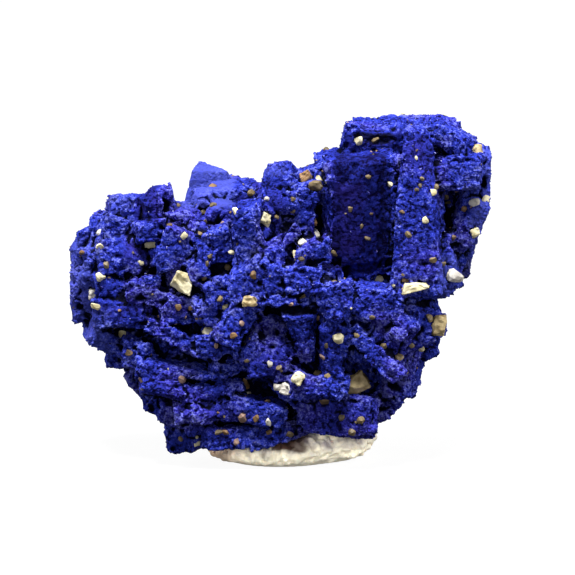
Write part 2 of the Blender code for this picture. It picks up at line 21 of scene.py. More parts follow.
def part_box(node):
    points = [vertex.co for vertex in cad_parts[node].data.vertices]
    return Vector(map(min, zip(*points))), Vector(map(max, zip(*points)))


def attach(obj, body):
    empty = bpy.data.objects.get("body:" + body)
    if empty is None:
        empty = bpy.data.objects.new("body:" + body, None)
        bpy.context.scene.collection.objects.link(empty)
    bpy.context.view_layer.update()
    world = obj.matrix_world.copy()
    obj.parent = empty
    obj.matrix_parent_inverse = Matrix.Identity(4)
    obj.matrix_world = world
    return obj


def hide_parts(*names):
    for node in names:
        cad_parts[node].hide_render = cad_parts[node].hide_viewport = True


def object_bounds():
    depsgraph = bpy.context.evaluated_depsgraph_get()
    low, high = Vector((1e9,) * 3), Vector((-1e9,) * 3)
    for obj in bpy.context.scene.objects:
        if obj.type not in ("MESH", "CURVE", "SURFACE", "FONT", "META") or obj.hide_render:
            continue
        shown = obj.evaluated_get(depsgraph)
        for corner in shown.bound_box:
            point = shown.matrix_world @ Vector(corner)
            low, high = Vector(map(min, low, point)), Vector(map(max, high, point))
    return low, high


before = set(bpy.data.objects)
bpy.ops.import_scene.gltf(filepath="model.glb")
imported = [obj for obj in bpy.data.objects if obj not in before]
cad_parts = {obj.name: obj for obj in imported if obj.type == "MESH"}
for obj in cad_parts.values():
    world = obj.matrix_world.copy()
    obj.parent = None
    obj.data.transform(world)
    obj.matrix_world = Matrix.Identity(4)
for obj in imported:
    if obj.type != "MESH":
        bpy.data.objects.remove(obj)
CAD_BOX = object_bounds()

MM = 0.001
ROOT = "root"
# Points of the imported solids' loose triangles that lie this close are one point.
MERGE = 0.005 * MM
# Blender's noise vectors differ from run to run unless they are given a seed.
NOISE_SEED = 5
# How wide a crease between two blocks is, as a share of a block's width.
CREASE_WIDTH = 0.2
LOG = logging.getLogger("azurite_specimen")


class Sand(Enum):
    """The kinds of sand grain, by what the eye takes them for."""

    WHITE = "white"
    CREAM = "cream"
    TAN = "tan"
    OCHRE = "ochre"
    HONEY = "honey"
    PINK = "pink"


# The smaller grains on the show side, as (right, up, width) in millimetres, seen from the front.
SMALL_GRAINS: dict[Sand, tuple[tuple[float, float, float], ...]] = {
    Sand.WHITE: (
        (-18.9, 22.2, 0.7), (-2.3, 25.5, 0.5), (16.3, 17.9, 1.5), (18.3, 25.2, 1.0),
        (-1.2, 6.9, 0.9), (-2.0, 9.2, 0.6), (-4.2, 6.2, 0.6), (-2.1, 3.4, 0.8),
    ),
    Sand.CREAM: (
        (-18.9, 20.8, 0.7), (-18.8, 17.8, 0.9), (-19.3, 14.9, 0.8), (-16.7, 12.1, 0.9),
        (-10.5, 21.9, 0.8), (-14.8, 19.2, 0.6), (-5.4, 24.3, 0.7), (-5.8, 20.2, 0.6),
        (6.8, 31.4, 1.0), (9.9, 27.0, 0.6), (14.1, 26.1, 0.7), (13.4, 23.4, 0.7),
        (15.7, 18.0, 0.7), (20.0, 27.0, 0.9), (19.5, 25.5, 0.9), (8.8, 17.5, 0.8),
        (4.8, 11.8, 1.1), (13.0, 10.7, 0.8), (-9.2, 1.2, 0.8),
    ),
    Sand.OCHRE: (
        (-20.7, 20.2, 0.8), (-16.0, 10.3, 0.9), (-11.9, 22.9, 0.7), (-11.0, 14.8, 0.9),
        (-9.8, 14.7, 0.7), (-5.6, 12.0, 0.9), (-7.7, 26.8, 1.0), (11.1, 24.2, 0.7),
        (16.2, 21.7, 0.9), (17.3, 24.6, 0.8), (11.4, 17.5, 1.1), (-3.6, 18.0, 1.0),
        (3.4, 5.6, 1.1), (-4.5, 7.2, 1.3), (-2.2, 5.4, 0.8), (-3.4, 3.8, 0.9),
        (-6.4, 2.4, 0.9), (-2.1, 2.4, 0.8),
    ),
    Sand.TAN: (
        (-18.2, 19.0, 0.8), (-11.1, 24.9, 0.6), (-8.6, 24.2, 0.7), (-8.4, 23.3, 0.6),
        (-7.6, 24.9, 0.9), (-8.9, 22.1, 0.7), (-7.9, 19.9, 0.7), (-8.2, 19.1, 0.7),
        (-8.5, 17.7, 0.8), (-6.9, 15.6, 0.9), (-3.9, 26.2, 0.9), (-1.3, 23.7, 0.7),
        (0.3, 25.5, 0.8), (0.3, 24.3, 0.7), (-5.2, 21.0, 0.7), (-6.2, 18.7, 0.8),
        (3.7, 30.5, 1.0), (8.5, 31.4, 0.9), (13.0, 27.5, 0.6), (12.8, 26.8, 0.6),
        (12.5, 26.4, 0.5), (7.7, 27.7, 0.6), (5.9, 24.5, 0.7), (7.7, 21.6, 0.8),
        (7.1, 22.8, 0.6), (14.4, 26.7, 0.8), (15.5, 25.7, 0.8), (15.7, 25.2, 0.7),
        (11.7, 22.0, 0.8), (14.1, 19.5, 0.9), (15.1, 19.1, 0.8), (4.4, 20.2, 0.9),
        (1.3, 15.8, 0.8), (1.1, 19.6, 0.7), (3.6, 11.0, 0.7), (8.1, 13.8, 0.7),
        (6.6, 12.0, 0.7), (9.3, 11.0, 0.8), (10.8, 9.8, 1.0), (12.0, 11.0, 0.7),
        (13.7, 13.7, 1.1), (2.7, 8.2, 0.9), (3.7, 8.0, 0.8), (5.1, 3.9, 0.9),
        (7.0, 3.6, 0.9), (6.1, 2.4, 0.9), (-1.1, 8.8, 0.8), (-4.3, 9.5, 0.7),
        (-7.1, 2.4, 0.9), (0.0, 2.2, 0.9), (-10.9, 1.7, 0.7),
    ),
    Sand.PINK: (
        (-14.7, 7.5, 0.9), (-7.3, 11.0, 0.7), (-4.8, 13.2, 0.7), (0.1, 15.1, 0.6),
        (3.2, 9.9, 0.9), (-4.7, 3.9, 1.1), (-5.3, 1.5, 0.9),
    ),
}

# Which kind each of the larger grains is, in the order of their nodes.
LARGE_GRAINS: tuple[Sand, ...] = (
    Sand.HONEY, Sand.CREAM, Sand.CREAM, Sand.HONEY, Sand.HONEY,
    Sand.HONEY, Sand.CREAM, Sand.CREAM, Sand.CREAM, Sand.WHITE,
    Sand.TAN, Sand.OCHRE, Sand.CREAM, Sand.WHITE, Sand.CREAM,
)


@dataclass(frozen=True)
class Reshaped:
    """How a larger grain differs from its solid, in millimetres.

    wedge is how much thinner its right end is, as a share, or its left end where it is below
    zero. Its middle hangs bend below its ends, and it lies proud in front of its solid and left
    to the left of it.
    """

    wedge: float = 0.0
    bend: float = 0.0
    proud: float = 0.3
    left: float = 0.0


# The grains that differ from their solids, by their numbers.
RESHAPED: dict[int, Reshaped] = {
    1: Reshaped(wedge=-0.45, bend=1.1, proud=2.1, left=0.7),
    2: Reshaped(proud=0.5),
    3: Reshaped(wedge=0.7),
    6: Reshaped(proud=0.4),
}


@dataclass(frozen=True)
class Patch:
    """A part of the show side, in millimetres as seen from the front, and how marked it is.

    Nothing that lies farther back than deepest is marked.
    """

    right: float
    up: float
    half_wide: float
    half_tall: float
    share: float
    deepest: float = 3.0


# Smooth faces with a thin crust, darker in tone: the broad plate first, then some facets elsewhere and
# the slab's recess. On the plate and in the recess the darkness is painted shade.
BARE_AND_SHADED_FACES: tuple[Patch, ...] = (
    Patch(6.9, 24.2, 2.7, 6.0, 1.0), Patch(-14.2, 25.2, 1.1, 1.9, 0.8),
    Patch(-15.3, 20.6, 1.8, 1.0, 0.5), Patch(-1.6, 26.0, 1.2, 1.4, 0.5),
    Patch(12.6, 30.6, 1.3, 1.4, 0.5), Patch(8.3, 31.3, 2.9, 0.9, 1.0),
    Patch(-17.5, 14.6, 2.2, 1.4, 0.4), Patch(-6.2, 25.0, 1.6, 0.8, 0.6),
)

# Where a painted lavender sheen lies: the crystal at the back, the left and right rims and some tops.
PAINTED_SHEENS: tuple[Patch, ...] = (
    Patch(-8.6, 27.2, 3.0, 2.6, 0.7, 14.0), Patch(-21.0, 17.0, 1.2, 5.0, 0.6),
    Patch(-19.6, 12.0, 1.6, 2.5, 0.45), Patch(18.8, 22.5, 0.9, 4.0, 0.6),
    Patch(15.6, 17.8, 1.0, 2.0, 0.6), Patch(19.7, 28.5, 0.5, 2.0, 0.5),
    Patch(-17.0, 24.6, 1.2, 1.2, 0.35), Patch(-2.0, 28.4, 1.6, 0.6, 0.4),
)

# Gaps and recesses between the crystals: the skin is sunk there, and painted shade makes them nearly
# black. The long strip down the broad plate's right side is a painted shadow.
SHADED_GAPS: tuple[Patch, ...] = (
    Patch(8.4, 31.6, 2.2, 0.6, 0.72), Patch(5.2, 30.5, 0.6, 0.6, 0.7),
    Patch(2.9, 23.2, 0.4, 1.9, 1.0), Patch(0.0, 14.5, 2.7, 0.45, 1.0),
    Patch(2.7, 12.5, 0.2, 1.9, 0.9), Patch(-2.8, 7.2, 1.3, 0.8, 0.7),
    Patch(15.2, 30.4, 1.2, 0.15, 0.7), Patch(15.6, 23.6, 0.4, 1.7, 0.8),
    Patch(-6.8, 18.6, 1.0, 0.6, 0.9), Patch(-14.0, 18.4, 0.8, 0.5, 0.9),
    Patch(-9.3, 20.2, 0.3, 1.2, 0.8), Patch(9.4, 24.0, 0.7, 5.4, 0.55),
    Patch(-18.3, 15.7, 0.8, 0.2, 0.7), Patch(-12.6, 12.9, 2.0, 0.15, 0.7),
    Patch(-9.0, 5.5, 2.6, 0.1, 0.7), Patch(-11.5, 7.6, 2.2, 0.1, 0.7),
    Patch(5.4, 9.3, 0.2, 1.5, 0.8),
)

# Brown glassy stains at the top of the base.
STAINS: tuple[Patch, ...] = (
    Patch(-0.6, 1.2, 1.2, 0.7, 1.0), Patch(1.0, 1.2, 0.7, 0.9, 0.9), Patch(-6.8, -0.2, 0.7, 0.5, 0.4),
    Patch(-2.6, 0.6, 0.3, 0.8, 0.5), Patch(5.6, 1.7, 0.8, 0.2, 0.5),
)


def linear(hex_colour: str) -> tuple[float, float, float, float]:
    """Turns an sRGB colour to linear light.

    Args:
        hex_colour: Six hex digits.

    Returns:
        Red, green and blue, and an alpha of 1.
    """
    channels = [int(hex_colour[i:i + 2], 16) / 255 for i in (0, 2, 4)]
    light = [c / 12.92 if c <= 0.04045 else ((c + 0.055) / 1.055) ** 2.4 for c in channels]
    return (*light, 1.0)


def add_node(tree: bpy.types.NodeTree, kind: str, settings: dict = {},
             links: dict = {}) -> bpy.types.Node:
    """Adds a shader node.

    Args:
        tree: The material's node tree.
        kind: The node's type, without the word ShaderNode.
        settings: Its properties, by name.
        links: Its inputs, by name or number: a socket to link, or a value to set.

    Returns:
        The new node.
    """
    node = tree.nodes.new("ShaderNode" + kind)
    for name, value in settings.items():
        setattr(node, name, value)
    for name, value in links.items():
        if isinstance(value, bpy.types.NodeSocket):
            tree.links.new(value, node.inputs[name])
        else:
            node.inputs[name].default_value = value
    return node


def new_material(name: str) -> tuple[bpy.types.Material, bpy.types.NodeTree, bpy.types.Node]:
    """Makes a material.

    Args:
        name: Its name.

    Returns:
        The material, its node tree and its Principled shader.
    """
    material = bpy.data.materials.new(name)
    material.use_nodes = True
    return material, material.node_tree, material.node_tree.nodes["Principled BSDF"]


def dress(mesh: bpy.types.Mesh, name: str, material: bpy.types.Material,
          replaced: tuple[str, ...] = ()) -> bpy.types.Object:
    """Makes a finished piece from a mesh whose points are where they belong.

    Args:
        mesh: The piece's mesh.
        name: The piece's name.
        material: Its material.
        replaced: The solids that it stands for.

    Returns:
        The piece, which rides on the object's only body.
    """
    mesh.materials.clear()
    mesh.materials.append(material)
    piece = bpy.data.objects.new(name, mesh)
    bpy.context.scene.collection.objects.link(piece)
    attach(piece, ROOT)
    if replaced:
        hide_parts(*replaced)
    LOG.info("%s: %d triangles", name, sum(len(p.vertices) - 2 for p in mesh.polygons))
    return piece


def solid_of(node: str) -> bmesh.types.BMesh:
    """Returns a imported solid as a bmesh, with the doubles of its loose triangles merged."""
    bm = bmesh.new()
    bm.from_mesh(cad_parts[node].data)
    bmesh.ops.remove_doubles(bm, verts=bm.verts, dist=MERGE)
    return bm


def mesh_from(bm: bmesh.types.BMesh, name: str) -> bpy.types.Mesh:
    """Writes a bmesh to a new mesh and frees it."""
    mesh = bpy.data.meshes.new(name)
    bm.to_mesh(mesh)
    bm.free()
    return mesh


def with_modifier(mesh: bpy.types.Mesh, kind: str, settings: dict) -> bpy.types.Mesh:
    """Applies one modifier to a mesh.

    Args:
        mesh: The mesh, which is removed.
        kind: The modifier's type.
        settings: Its properties, by name.

    Returns:
        The new mesh.
    """
    holder = bpy.data.objects.new("holder", mesh)
    bpy.context.scene.collection.objects.link(holder)
    modifier = holder.modifiers.new(kind, kind)
    for name, value in settings.items():
        setattr(modifier, name, value)
    evaluated = holder.evaluated_get(bpy.context.evaluated_depsgraph_get())
    made = bpy.data.meshes.new_from_object(evaluated)
    bpy.data.objects.remove(holder)
    bpy.data.meshes.remove(mesh)
    return made


def read_points(mesh: bpy.types.Mesh) -> tuple[np.ndarray, np.ndarray]:
    """Returns a mesh's points and its normals there, each as rows of three.

    The normals are summed here in the order of the faces, which makes them the same each run.
    """
    flat = np.empty(len(mesh.vertices) * 3, np.float32)
    mesh.vertices.foreach_get("co", flat)
    points = flat.reshape(-1, 3).astype(float)
    corners = triangles_of(mesh)
    a, b, c = (points[corners[:, i]] for i in range(3))
    facing = np.cross(b - a, c - a)
    normals = np.stack([
        sum(np.bincount(corners[:, k], facing[:, i], len(points)) for k in range(3))
        for i in range(3)], axis=1)
    normals /= np.maximum(np.linalg.norm(normals, axis=1, keepdims=True), 1e-30)
    return points, normals


def write_points(mesh: bpy.types.Mesh, points: np.ndarray) -> None:
    """Moves a mesh's points to the given rows."""
    mesh.vertices.foreach_set("co", points.astype(np.float32).ravel())
    mesh.update()


def write_values(mesh: bpy.types.Mesh, name: str, values: np.ndarray) -> None:
    """Keeps one number for each point in a named attribute, for the material to read."""
    attribute = mesh.attributes.new(name, "FLOAT", "POINT")
    attribute.data.foreach_set("value", values.astype(np.float32))


def triangles_of(mesh: bpy.types.Mesh) -> np.ndarray:
    """Returns the point numbers of a mesh's triangles, as rows of three."""
    mesh.calc_loop_triangles()
    corners = np.empty(len(mesh.loop_triangles) * 3, np.int32)
    mesh.loop_triangles.foreach_get("vertices", corners)
    return corners.reshape(-1, 3)


def smoothed(mesh: bpy.types.Mesh, values: np.ndarray, steps: int) -> np.ndarray:
    """Averages rows of three with those of the neighbouring points, again and again.

    Args:
        mesh: The mesh.
        values: One row for each of its points.
        steps: How many times.

    Returns:
        The averaged rows.
    """
    ends = np.empty(len(mesh.edges) * 2, np.int32)
    mesh.edges.foreach_get("vertices", ends)
    a, b = np.sort(ends.reshape(-1, 2), axis=1).T
    order = np.lexsort((b, a))
    a, b = a[order], b[order]
    count = len(values)
    degree = np.bincount(a, minlength=count) + np.bincount(b, minlength=count)
    for _ in range(steps):
        total = np.stack([
            np.bincount(a, values[b, i], count) + np.bincount(b, values[a, i], count)
            for i in range(3)], axis=1)
        values = 0.4 * values + 0.6 * total / degree[:, None]
    return values


def search_tree(mesh: bpy.types.Mesh) -> BVHTree:
    """Returns a tree that finds where a line meets a mesh."""
    points, _ = read_points(mesh)
    return BVHTree.FromPolygons(points.tolist(), triangles_of(mesh).tolist())


@dataclass(frozen=True)
class ShowView:
    """How the photograph sees the show side.

    tilt is how far it looks down. middle_right and middle_deep are the box's middle, in that
    view's own millimetres. The picture is frame_width across and its middle stands at
    (centre_right, centre_up). distance is the camera's. The edges of a marked patch are bent by
    up to bend, in waves of bend_width, and fade over fade.
    """

    tilt: float = math.radians(10)
    middle_right: float = -0.9
    middle_deep: float = 0.6
    frame_width: float = 57.5
    centre_right: float = -0.25
    centre_up: float = 16.75
    distance: float = 0.8
    sensor: float = 36.0
    bend: float = 0.45
    bend_width: float = 0.9
    fade: float = 0.4

    def point(self, right: float, up: float, deep: float = 0.0) -> Vector:
        """Returns the point that is seen there, from millimetres in the picture."""
        level = (up - deep * math.sin(self.tilt)) / math.cos(self.tilt)
        return Vector((right - self.middle_right, deep - self.middle_deep, level)) * MM

    def sight(self) -> Vector:
        """Returns the direction of the line of sight."""
        return Vector((0, math.cos(self.tilt), -math.sin(self.tilt)))

    def marked(self, points: np.ndarray, patches: tuple[Patch, ...]) -> np.ndarray:
        """Returns how strongly each point lies in the given patches, with uneven edges.

        Args:
            points: The points, as rows of three.
            patches: Where the marks are.
        """
        deep = points[:, 1] / MM + self.middle_deep
        right = points[:, 0] / MM + self.middle_right
        up = points[:, 2] / MM * math.cos(self.tilt) + deep * math.sin(self.tilt)
        waves = np.array([noise.noise_vector(Vector(p) / self.bend_width)[:] for p in points / MM])
        right, up = right + self.bend * waves[:, 0], up + self.bend * waves[:, 2]
        total = np.zeros(len(points))
        for patch in patches:
            beyond = np.maximum(abs(right - patch.right) - patch.half_wide,
                                abs(up - patch.up) - patch.half_tall)
            inside = np.clip(0.5 - beyond / self.fade, 0, 1) * (deep < patch.deepest)
            total = np.maximum(total, inside * patch.share)
        return total

    def camera(self) -> bpy.types.Object:
        """Makes the scene's camera and returns it."""
        data = bpy.data.cameras.new("show_side_camera")
        data.type = "PERSP"
        data.sensor_width = self.sensor
        data.lens = self.sensor * self.distance / (self.frame_width * MM)
        data.clip_start = 0.01
        camera = bpy.data.objects.new("show_side_camera", data)
        target = self.point(self.centre_right, self.centre_up)
        camera.location = target - self.sight() * self.distance
        camera.rotation_euler = (math.pi / 2 - self.tilt, 0, 0)
        bpy.context.scene.collection.objects.link(camera)
        bpy.context.scene.camera = camera
        return camera


@dataclass(frozen=True)
class AzuriteFinish:
    """Azurite, a copper carbonate: granular crystals, bright blue where light gets in.

    Each small crystal has its own tone, and some faces are a smooth violet-black. Hollows and
    gaps get painted shade, nearly black, and the broad plate and the slab's recess are darkened
    by painted shade too; rims and some tops get a painted lavender sheen, and the brightest specks
    turn pale, a painted highlight on a random tone. Sizes are in millimetres, and bare_face is how
    much deeper the broad flat faces are, where the crust is thin.
    """

    deep: str = "05032A"
    bright: str = "2B39B0"
    violet: str = "3C32A0"
    # The next three colours are painted light: a pale highlight on the brightest specks, a lavender
    # sheen, and the shade of hollows.
    pale: str = "7A80B8"
    painted_sheen: str = "444CA4"
    shadow: str = "010105"
    dull_face: str = "100838"
    bare_face: float = 0.1
    patch_size: float = 3.4
    worm_size: float = 0.38
    speck_size: float = 0.17

    def material(self) -> bpy.types.Material:
        """Returns the material, which reads five attributes of the points: their random tone, the
        hollows and the bare faces, which get painted shade, the flat faces, and the painted sheen.
        """
        material, tree, shader = new_material("azurite_crystal")
        place = add_node(tree, "TexCoord").outputs["Object"]
        tone, hollow, flat, bare_and_shaded, painted_sheen = (
            add_node(tree, "Attribute", {"attribute_name": name}).outputs["Fac"]
            for name in ("tone", "hollow", "flat", "bare_and_shaded", "painted_sheen"))
        patches, tint, worms, specks = (
            add_node(tree, "TexNoise", {}, {
                "Vector": place, "Scale": 1 / (width * MM), "Detail": detail}).outputs["Fac"]
            for width, detail in ((self.patch_size, 3.0), (2 * self.patch_size, 2.0),
                                  (self.worm_size, 2.0), (self.speck_size, 1.0)))
        fine = add_node(tree, "Math", {"operation": "MULTIPLY_ADD"}, {
            0: specks, 1: 1.0, 2: -1.2})
        porous = add_node(tree, "MapRange", {"interpolation_type": "SMOOTHSTEP"}, {
            "Value": worms, "From Min": 0.32, "From Max": 0.54})
        crust = add_node(tree, "Math", {"operation": "MULTIPLY_ADD"}, {
            0: porous.outputs["Result"], 1: 0.62, 2: fine.outputs[0]})
        broad = add_node(tree, "Math", {"operation": "MULTIPLY_ADD"}, {
            0: patches, 1: 1.2, 2: crust.outputs[0]})
        # The bare faces turn darker and quieter: on the broad plate and in the slab's recess this is
        # painted shade.
        shaded_quiet = add_node(tree, "Math", {"operation": "MULTIPLY_ADD"}, {
            0: broad.outputs[0], 1: 0.5, 2: -0.18})
        lively = add_node(tree, "Mix", {"data_type": "FLOAT"}, {
            0: bare_and_shaded, 2: broad.outputs[0], 3: shaded_quiet.outputs[0]})
        crusted = add_node(tree, "Math", {"operation": "MULTIPLY_ADD"}, {
            0: flat, 1: -self.bare_face, 2: lively.outputs["Result"]})
        level = add_node(tree, "Math", {"operation": "MULTIPLY_ADD", "use_clamp": True}, {
            0: tone, 1: 0.5, 2: crusted.outputs[0]})
        tinted = add_node(tree, "MapRange", {}, {
            "Value": tint, "From Min": 0.5, "From Max": 0.62, "To Max": 0.6})
        hue = add_node(tree, "Mix", {"data_type": "RGBA"}, {
            0: tinted.outputs["Result"], 6: linear(self.bright), 7: linear(self.violet)})
        clear = add_node(tree, "Mix", {"data_type": "RGBA"}, {
            0: level.outputs[0], 6: linear(self.deep), 7: hue.outputs[2]})
        # Painted highlight on a random tone: the brightest specks turn pale, as if they caught the
        # light.
        highlight_tips = add_node(tree, "MapRange", {}, {
            "Value": level.outputs[0], "From Min": 0.66, "From Max": 1.04, "To Max": 0.6})
        lit = add_node(tree, "Mix", {"data_type": "RGBA"}, {
            0: highlight_tips.outputs["Result"], 6: clear.outputs[2], 7: linear(self.pale)})
        # Painted sheen: a lavender veil over the rims, some tops and the crystal at the back.
        sheen_share = add_node(tree, "Math", {"operation": "MULTIPLY"}, {0: painted_sheen, 1: 0.8})
        blue = add_node(tree, "Mix", {"data_type": "RGBA"}, {
            0: sheen_share.outputs[0], 6: lit.outputs[2], 7: linear(self.painted_sheen)})
        dull = add_node(tree, "MapRange", {}, {
            "Value": patches, "From Min": 0.56, "From Max": 0.68, "To Max": 0.5})
        faces = add_node(tree, "Mix", {"data_type": "RGBA"}, {
            0: dull.outputs["Result"], 6: blue.outputs[2], 7: linear(self.dull_face)})
        # Painted shade: the hollows and gaps fade to a nearly black shadow colour.
        depth = add_node(tree, "MapRange", {}, {
            "Value": hollow, "From Min": 0.4, "From Max": 0.78, "To Max": 0.97})
        colour = add_node(tree, "Mix", {"data_type": "RGBA"}, {
            0: depth.outputs["Result"], 6: faces.outputs[2], 7: linear(self.shadow)})
        tree.links.new(colour.outputs[2], shader.inputs["Base Color"])
        gloss = add_node(tree, "MapRange", {}, {
            "Value": tone, "From Min": 0.9, "From Max": 0.96,
            "To Min": 0.75, "To Max": 0.25})
        tree.links.new(gloss.outputs["Result"], shader.inputs["Roughness"])
        grainy = add_node(tree, "Math", {"operation": "MULTIPLY_ADD"}, {
            0: specks, 1: 0.8, 2: porous.outputs["Result"]})
        bump = add_node(tree, "Bump", {}, {
            "Height": grainy.outputs[0], "Strength": 0.8, "Distance": 0.05 * MM})
        tree.links.new(bump.outputs["Normal"], shader.inputs["Normal"])
        shader.inputs["IOR"].default_value = 1.73
        shader.inputs["Specular IOR Level"].default_value = 0.02
        return material


@dataclass(frozen=True)
class GlintFinish:
    """Clear azurite crystals: deep blue glass that sends back small white sparks."""

    body: str = "1A1C78"

    def material(self) -> bpy.types.Material:
        """Returns the material."""
        material, _, shader = new_material("clear_azurite")
        shader.inputs["Base Color"].default_value = linear(self.body)
        shader.inputs["Roughness"].default_value = 0.12
        shader.inputs["IOR"].default_value = 1.76
        return material


@dataclass(frozen=True)
class SandFinish:
    """Sand: worn quartz and limestone, from clear honey-coloured grains to chalky white ones.

    clear is how much light passes through. Stains and pits are so wide, in millimetres.
    """

    kind: Sand
    light: str
    dark: str
    clear: float
    stain_width: float = 0.9
    pit_width: float = 0.16

    def material(self) -> bpy.types.Material:
        """Returns the material."""
        material, tree, shader = new_material(f"{self.kind.value}_sand")
        place = add_node(tree, "TexCoord").outputs["Object"]
        stain = add_node(tree, "TexNoise", {}, {
            "Vector": place, "Scale": 1 / (self.stain_width * MM), "Detail": 4.0})
        share = add_node(tree, "MapRange", {}, {
            "Value": stain.outputs["Fac"], "From Min": 0.38, "From Max": 0.62})
        colour = add_node(tree, "Mix", {"data_type": "RGBA"}, {
            0: share.outputs["Result"], 6: linear(self.dark), 7: linear(self.light)})
        tree.links.new(colour.outputs[2], shader.inputs["Base Color"])
        pits = add_node(tree, "TexNoise", {}, {
            "Vector": place, "Scale": 1 / (self.pit_width * MM), "Detail": 2.0})
        bump = add_node(tree, "Bump", {}, {
            "Height": pits.outputs["Fac"], "Strength": 0.4, "Distance": 0.04 * MM})
        tree.links.new(bump.outputs["Normal"], shader.inputs["Normal"])
        shader.inputs["Roughness"].default_value = 0.6
        shader.inputs["IOR"].default_value = 1.54
        shader.inputs["Transmission Weight"].default_value = self.clear
        return material


SAND_FINISHES: tuple[SandFinish, ...] = (
    SandFinish(Sand.WHITE, "CFCBC0", "9A948C", 0.1),
    SandFinish(Sand.CREAM, "DAD2B0", "A4986E", 0.15),
    SandFinish(Sand.TAN, "7E6A42", "483A22", 0.2),
    SandFinish(Sand.OCHRE, "8C6636", "4A361A", 0.2),
    SandFinish(Sand.HONEY, "D2BC88", "7C663C", 0.25),
    SandFinish(Sand.PINK, "A08070", "6C5248", 0.2),
)


@dataclass(frozen=True)
class BaseFinish:
    """The base's pale lump: chalky cream, grey and granular on top, with brown glassy stains.

    Its left end is peach for peach_width millimetres, and the grey sets in between the two
    levels of grey_levels. Mottles are mottle_width wide and its grain is grain_width wide.
    """

    cream: str = "F4EBD2"
    grey: str = "8A8088"
    peach: str = "DCA884"
    brown: str = "3A2216"
    grey_levels: tuple[float, float] = (1.0, 2.4)
    peach_width: float = 4.0
    mottle_width: float = 1.6
    grain_width: float = 0.3

    def material(self, left_end: float) -> bpy.types.Material:
        """Returns the material.

        Args:
            left_end: Where the base's left end is, in metres.
        """
        material, tree, shader = new_material("pale_chalky_base")
        place = add_node(tree, "TexCoord").outputs["Object"]
        parts = add_node(tree, "SeparateXYZ", {}, {0: place})
        mottle = add_node(tree, "TexNoise", {}, {
            "Vector": place, "Scale": 1 / (self.mottle_width * MM), "Detail": 5.0})
        upper = add_node(tree, "MapRange", {}, {
            "Value": parts.outputs["Z"], "From Min": self.grey_levels[0] * MM,
            "From Max": self.grey_levels[1] * MM})
        granular = add_node(tree, "MapRange", {}, {
            "Value": mottle.outputs["Fac"], "From Min": 0.36, "From Max": 0.58})
        greyed = add_node(tree, "Math", {"operation": "MULTIPLY"}, {
            0: upper.outputs["Result"], 1: granular.outputs["Result"]})
        body = add_node(tree, "Mix", {"data_type": "RGBA"}, {
            0: greyed.outputs[0], 6: linear(self.cream), 7: linear(self.grey)})
        left = add_node(tree, "MapRange", {}, {
            "Value": parts.outputs["X"], "From Min": left_end + self.peach_width * MM,
            "From Max": left_end, "To Max": 0.8})
        warm = add_node(tree, "Mix", {"data_type": "RGBA"}, {
            0: left.outputs["Result"], 6: body.outputs[2], 7: linear(self.peach)})
        stain = add_node(tree, "Attribute", {"attribute_name": "stain"}).outputs["Fac"]
        stained = add_node(tree, "Mix", {"data_type": "RGBA"}, {
            0: stain, 6: warm.outputs[2], 7: linear(self.brown)})
        tree.links.new(stained.outputs[2], shader.inputs["Base Color"])
        fine = add_node(tree, "TexNoise", {}, {
            "Vector": place, "Scale": 1 / (self.grain_width * MM), "Detail": 3.0})
        bump = add_node(tree, "Bump", {}, {
            "Height": fine.outputs["Fac"], "Strength": 0.6, "Distance": 0.12 * MM})
        tree.links.new(bump.outputs["Normal"], shader.inputs["Normal"])
        shader.inputs["Roughness"].default_value = 0.65
        shader.inputs["Subsurface Weight"].default_value = 0.3
        shader.inputs["Subsurface Scale"].default_value = 0.8 * MM
        shader.inputs["Subsurface Radius"].default_value = (1.0, 0.8, 0.6)
        return material


def chipped_block(size: Vector, chips: int, rng: random.Random) -> bmesh.types.BMesh:
    """Makes a small crystal: a block with a narrower top and some corners cut off flat.

    Args:
        size: Its width, depth and height.
        chips: How many cuts it has.
        rng: What its shape is drawn from.

    Returns:
        The crystal about the origin, as a bmesh.
    """
    bm = bmesh.new()
    bmesh.ops.create_cube(bm, size=1.0)
    top = [vert for vert in bm.verts if vert.co.z > 0]
    narrow = rng.uniform(0.6, 1.0)
    bmesh.ops.scale(bm, vec=(narrow, (1 + narrow) / 2, 1), verts=top)
    bmesh.ops.translate(bm, vec=(rng.uniform(-0.2, 0.2), rng.uniform(-0.1, 0.1), 0), verts=top)
    bmesh.ops.scale(bm, vec=size, verts=bm.verts)
    for _ in range(chips):
        direction = Vector([rng.choice((-1, 1)) * rng.uniform(0.3, 1) / s for s in size])
        cut_face(bm, direction.normalized(), rng.uniform(0.12, 0.3) * min(size))
    bmesh.ops.triangulate(bm, faces=bm.faces)
    return bm


def cut_face(bm: bmesh.types.BMesh, direction: Vector, depth: float) -> None:
    """Cuts a flat face across the side of a solid.

    Args:
        bm: The solid.
        direction: Where the face looks, a unit vector.
        depth: How far below the solid's reach that way it is cut.
    """
    reach = max(direction.dot(vert.co) for vert in bm.verts)
    cut = bmesh.ops.bisect_plane(
        bm,
        geom=bm.verts[:] + bm.edges[:] + bm.faces[:],
        plane_co=direction * (reach - depth),
        plane_no=direction,
        clear_outer=True,
    )
    rim = [edge for edge in cut["geom_cut"] if isinstance(edge, bmesh.types.BMEdge)]
    bmesh.ops.edgeloop_fill(bm, edges=rim)


